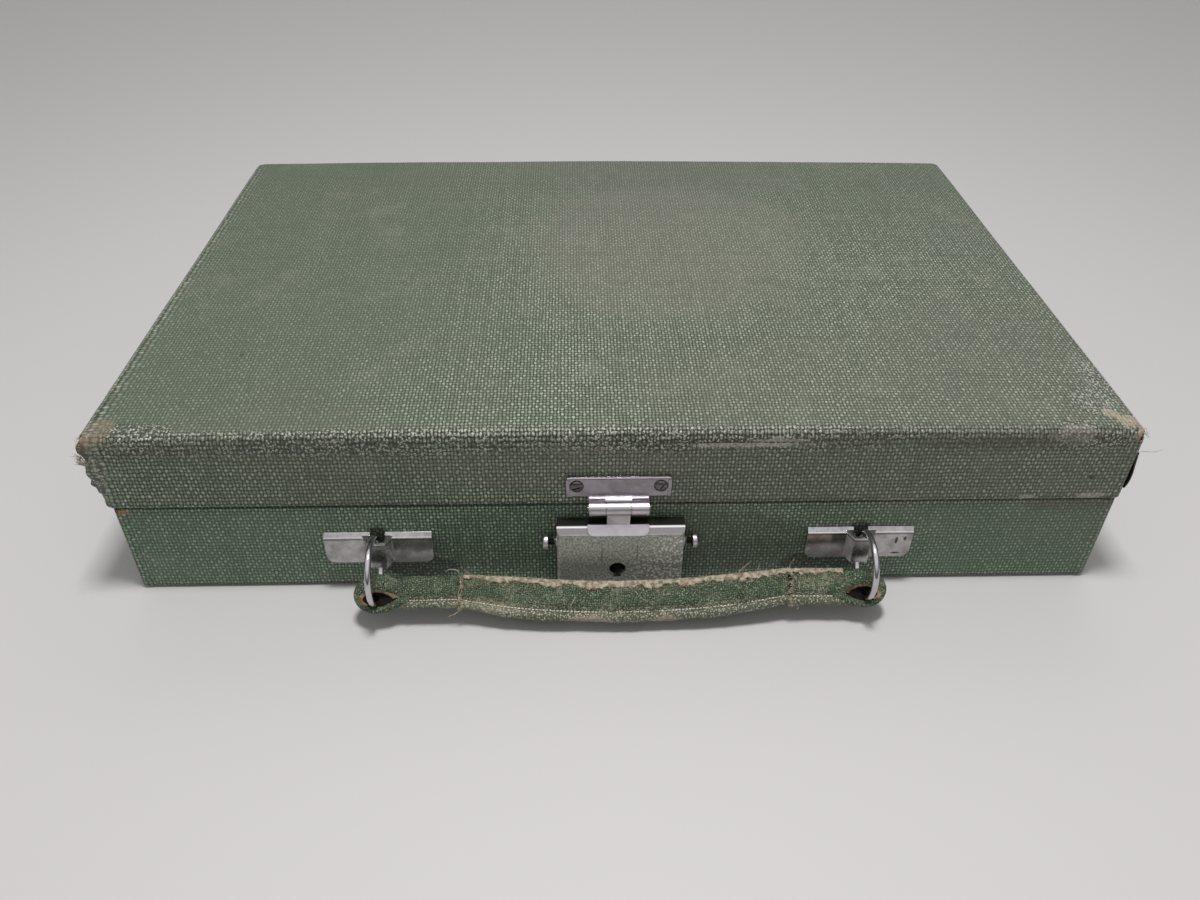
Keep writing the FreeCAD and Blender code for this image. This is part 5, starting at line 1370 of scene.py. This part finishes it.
def turned_open(place, angle):
    """A point (y, z) from the hinge's axis, turned as the lid turns when it opens."""
    return Vector((place.x * math.cos(angle) + place.y * math.sin(angle),
                   -place.x * math.sin(angle) + place.y * math.cos(angle)))


def make_ribbon(side, word):
    """A woven stay ribbon between the base and the lid."""
    count = 60
    line = ribbon_points(count)
    bm = bmesh.new()
    bmesh.ops.create_grid(bm, x_segments=6, y_segments=count, size=0.5)
    layer = bm.loops.layers.uv.new("chart")
    path = [0.0]
    for before, after in zip(line, line[1:]):
        path.append(path[-1] + math.dist(before, after))
    for face in bm.faces:
        for corner in face.loops:
            across, along = corner.vert.co.x + 0.5, corner.vert.co.y + 0.5
            corner[layer].uv = (across * ribbon_width, path[round(along * count)])
    for vert in bm.verts:
        across, along = vert.co.x + 0.5, vert.co.y + 0.5
        y, z = line[round(along * count)]
        vert.co = Vector((side * (ribbon_edge - ribbon_width * across), y, z))
    piece = new_piece(bm, "stay_tape_" + word, None, [tape], 80)
    modifier(piece, "SOLIDIFY", "tape thickness", thickness=0.6 * MM, offset=0)
    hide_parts("stay_ribbon_" + word)
    y = hinge_y - ribbon_reach
    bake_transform(piece)


def make_inside():
    for node in ("base_bottom_board", "base_front_wall", "base_rear_wall", "base_left_wall", "base_right_wall",
                 "lid_top_board", "lid_front_wall", "lid_rear_wall", "lid_left_wall", "lid_right_wall"):
        paint(node, board)
    for node, body in (("collar_front", "base"), ("collar_rear", "base"), ("collar_left", "base"),
                       ("collar_right", "base"), ("base_floor_lining", "base"), ("lid_lining_board", "lid"),
                       ("lid_wall_lining", "lid"), ("mirror_frame", "lid")):
        softened_copy(node, "lined_" + node, body, lining, 0.15 * MM, charted=True)
    paint("mirror_glass", mirror)
    for side, word in ((-1, "left"), (1, "right")):
        make_ribbon(side, word)


# Floor, light and camera

def make_stage():
    bm = bmesh.new()
    bmesh.ops.create_grid(bm, x_segments=1, y_segments=1, size=4.0)
    mesh = bpy.data.meshes.new("floor")
    bm.to_mesh(mesh)
    bm.free()
    floor = bpy.data.objects.new("floor", mesh)
    bpy.context.scene.collection.objects.link(floor)
    material, w, shader = new_material("pale_floor", 0.55, specular=0.3)
    shader.inputs["Base Color"].default_value = rgb(211, 208, 207)
    mesh.materials.append(material)
    world = bpy.data.worlds.new("studio")
    world.use_nodes = True
    bpy.context.scene.world = world
    w = Wires(world.node_tree)
    back = world.node_tree.nodes["Background"]
    back.inputs["Color"].default_value = (1, 1, 1, 1)
    back.inputs["Strength"].default_value = 0.36
    rays = w.add("ShaderNodeLightPath").outputs
    _, _, height = w.split(w.add("ShaderNodeTexCoord").outputs["Generated"])
    ceiling = w.ramp(height, 0.1, 0.75, 0.12, 0.85)
    mirrored = w.add("ShaderNodeBackground", {"Color": (1, 1, 1, 1), "Strength": ceiling})
    shown = w.add("ShaderNodeBackground", {"Color": rgb(148, 146, 145), "Strength": 1.0})
    first = w.add("ShaderNodeMixShader", {0: rays["Is Glossy Ray"], 1: back.outputs[0], 2: mirrored.outputs[0]})
    seen = w.math("MAXIMUM", rays["Is Camera Ray"], rays["Is Transmission Ray"])
    mixed = w.add("ShaderNodeMixShader", {0: seen, 1: first.outputs[0], 2: shown.outputs[0]})
    w.feed(world.node_tree.nodes["World Output"].inputs[0], mixed.outputs[0])


def add_lamp(name, place, target, size, power):
    data = bpy.data.lights.new(name, "AREA")
    data.shape = "RECTANGLE"
    data.size, data.size_y = size
    data.energy = power
    lamp = bpy.data.objects.new(name, data)
    lamp.location = place
    lamp.rotation_mode = "QUATERNION"
    lamp.rotation_quaternion = (Vector(target) - Vector(place)).to_track_quat("-Z", "Y")
    bpy.context.scene.collection.objects.link(lamp)


def make_light():
    add_lamp("key_panel", (0.0, -0.15, 0.74), (0, -0.15, 0), (0.13, 0.13), 3.5)
    add_lamp("rear_fill", (0.1, 0.9, 1.0), (0, 0, 0.05), (1.2, 0.8), 2.0)


def make_camera():
    """The photograph's camera: pitch about X, then a small yaw and roll."""
    data = bpy.data.cameras.new("photo_camera")
    data.lens = camera_lens
    data.sensor_width = sensor_width
    data.clip_start = 0.01
    data.clip_end = 50
    camera = bpy.data.objects.new("photo_camera", data)
    roll = Matrix.Rotation(camera_roll, 3, "Z")
    pitch = Matrix.Rotation(camera_pitch, 3, "X")
    yaw = Matrix.Rotation(camera_yaw, 3, "Y")
    level = Matrix(((1, 0, 0), (0, 0, -1), (0, 1, 0)))
    seen = roll @ pitch @ yaw @ level
    right, down, ahead = seen.row[0], seen.row[1], seen.row[2]
    turn = Matrix((right, -down, -ahead)).transposed()
    camera.rotation_mode = "QUATERNION"
    camera.rotation_quaternion = turn.to_quaternion()
    camera.location = camera_place
    bpy.context.scene.collection.objects.link(camera)
    bpy.context.scene.camera = camera


make_camera()
make_stage()
make_light()
bpy.context.scene.view_settings.view_transform = "Standard"

make_inside()
make_fittings()
make_lid_cover()
make_base_cover()
make_grip("handle_grip", grip_left, grip_right, "handle_grip_cover", 1)
make_grip("handle_sleeve_left", sleeve_left, grip_left - left_gap, None, 2)
make_grip("handle_sleeve_right", grip_right + right_gap, sleeve_right, None, 3)
make_core()
make_corner_wear()
make_eye(-1, "left", "handle_end_left")
make_eye(1, "right", "handle_end_right")
make_seam_band()
make_frayed_seam()
make_stitches()
make_loose_threads()
make_ring(-1, "left")
make_ring(1, "right")
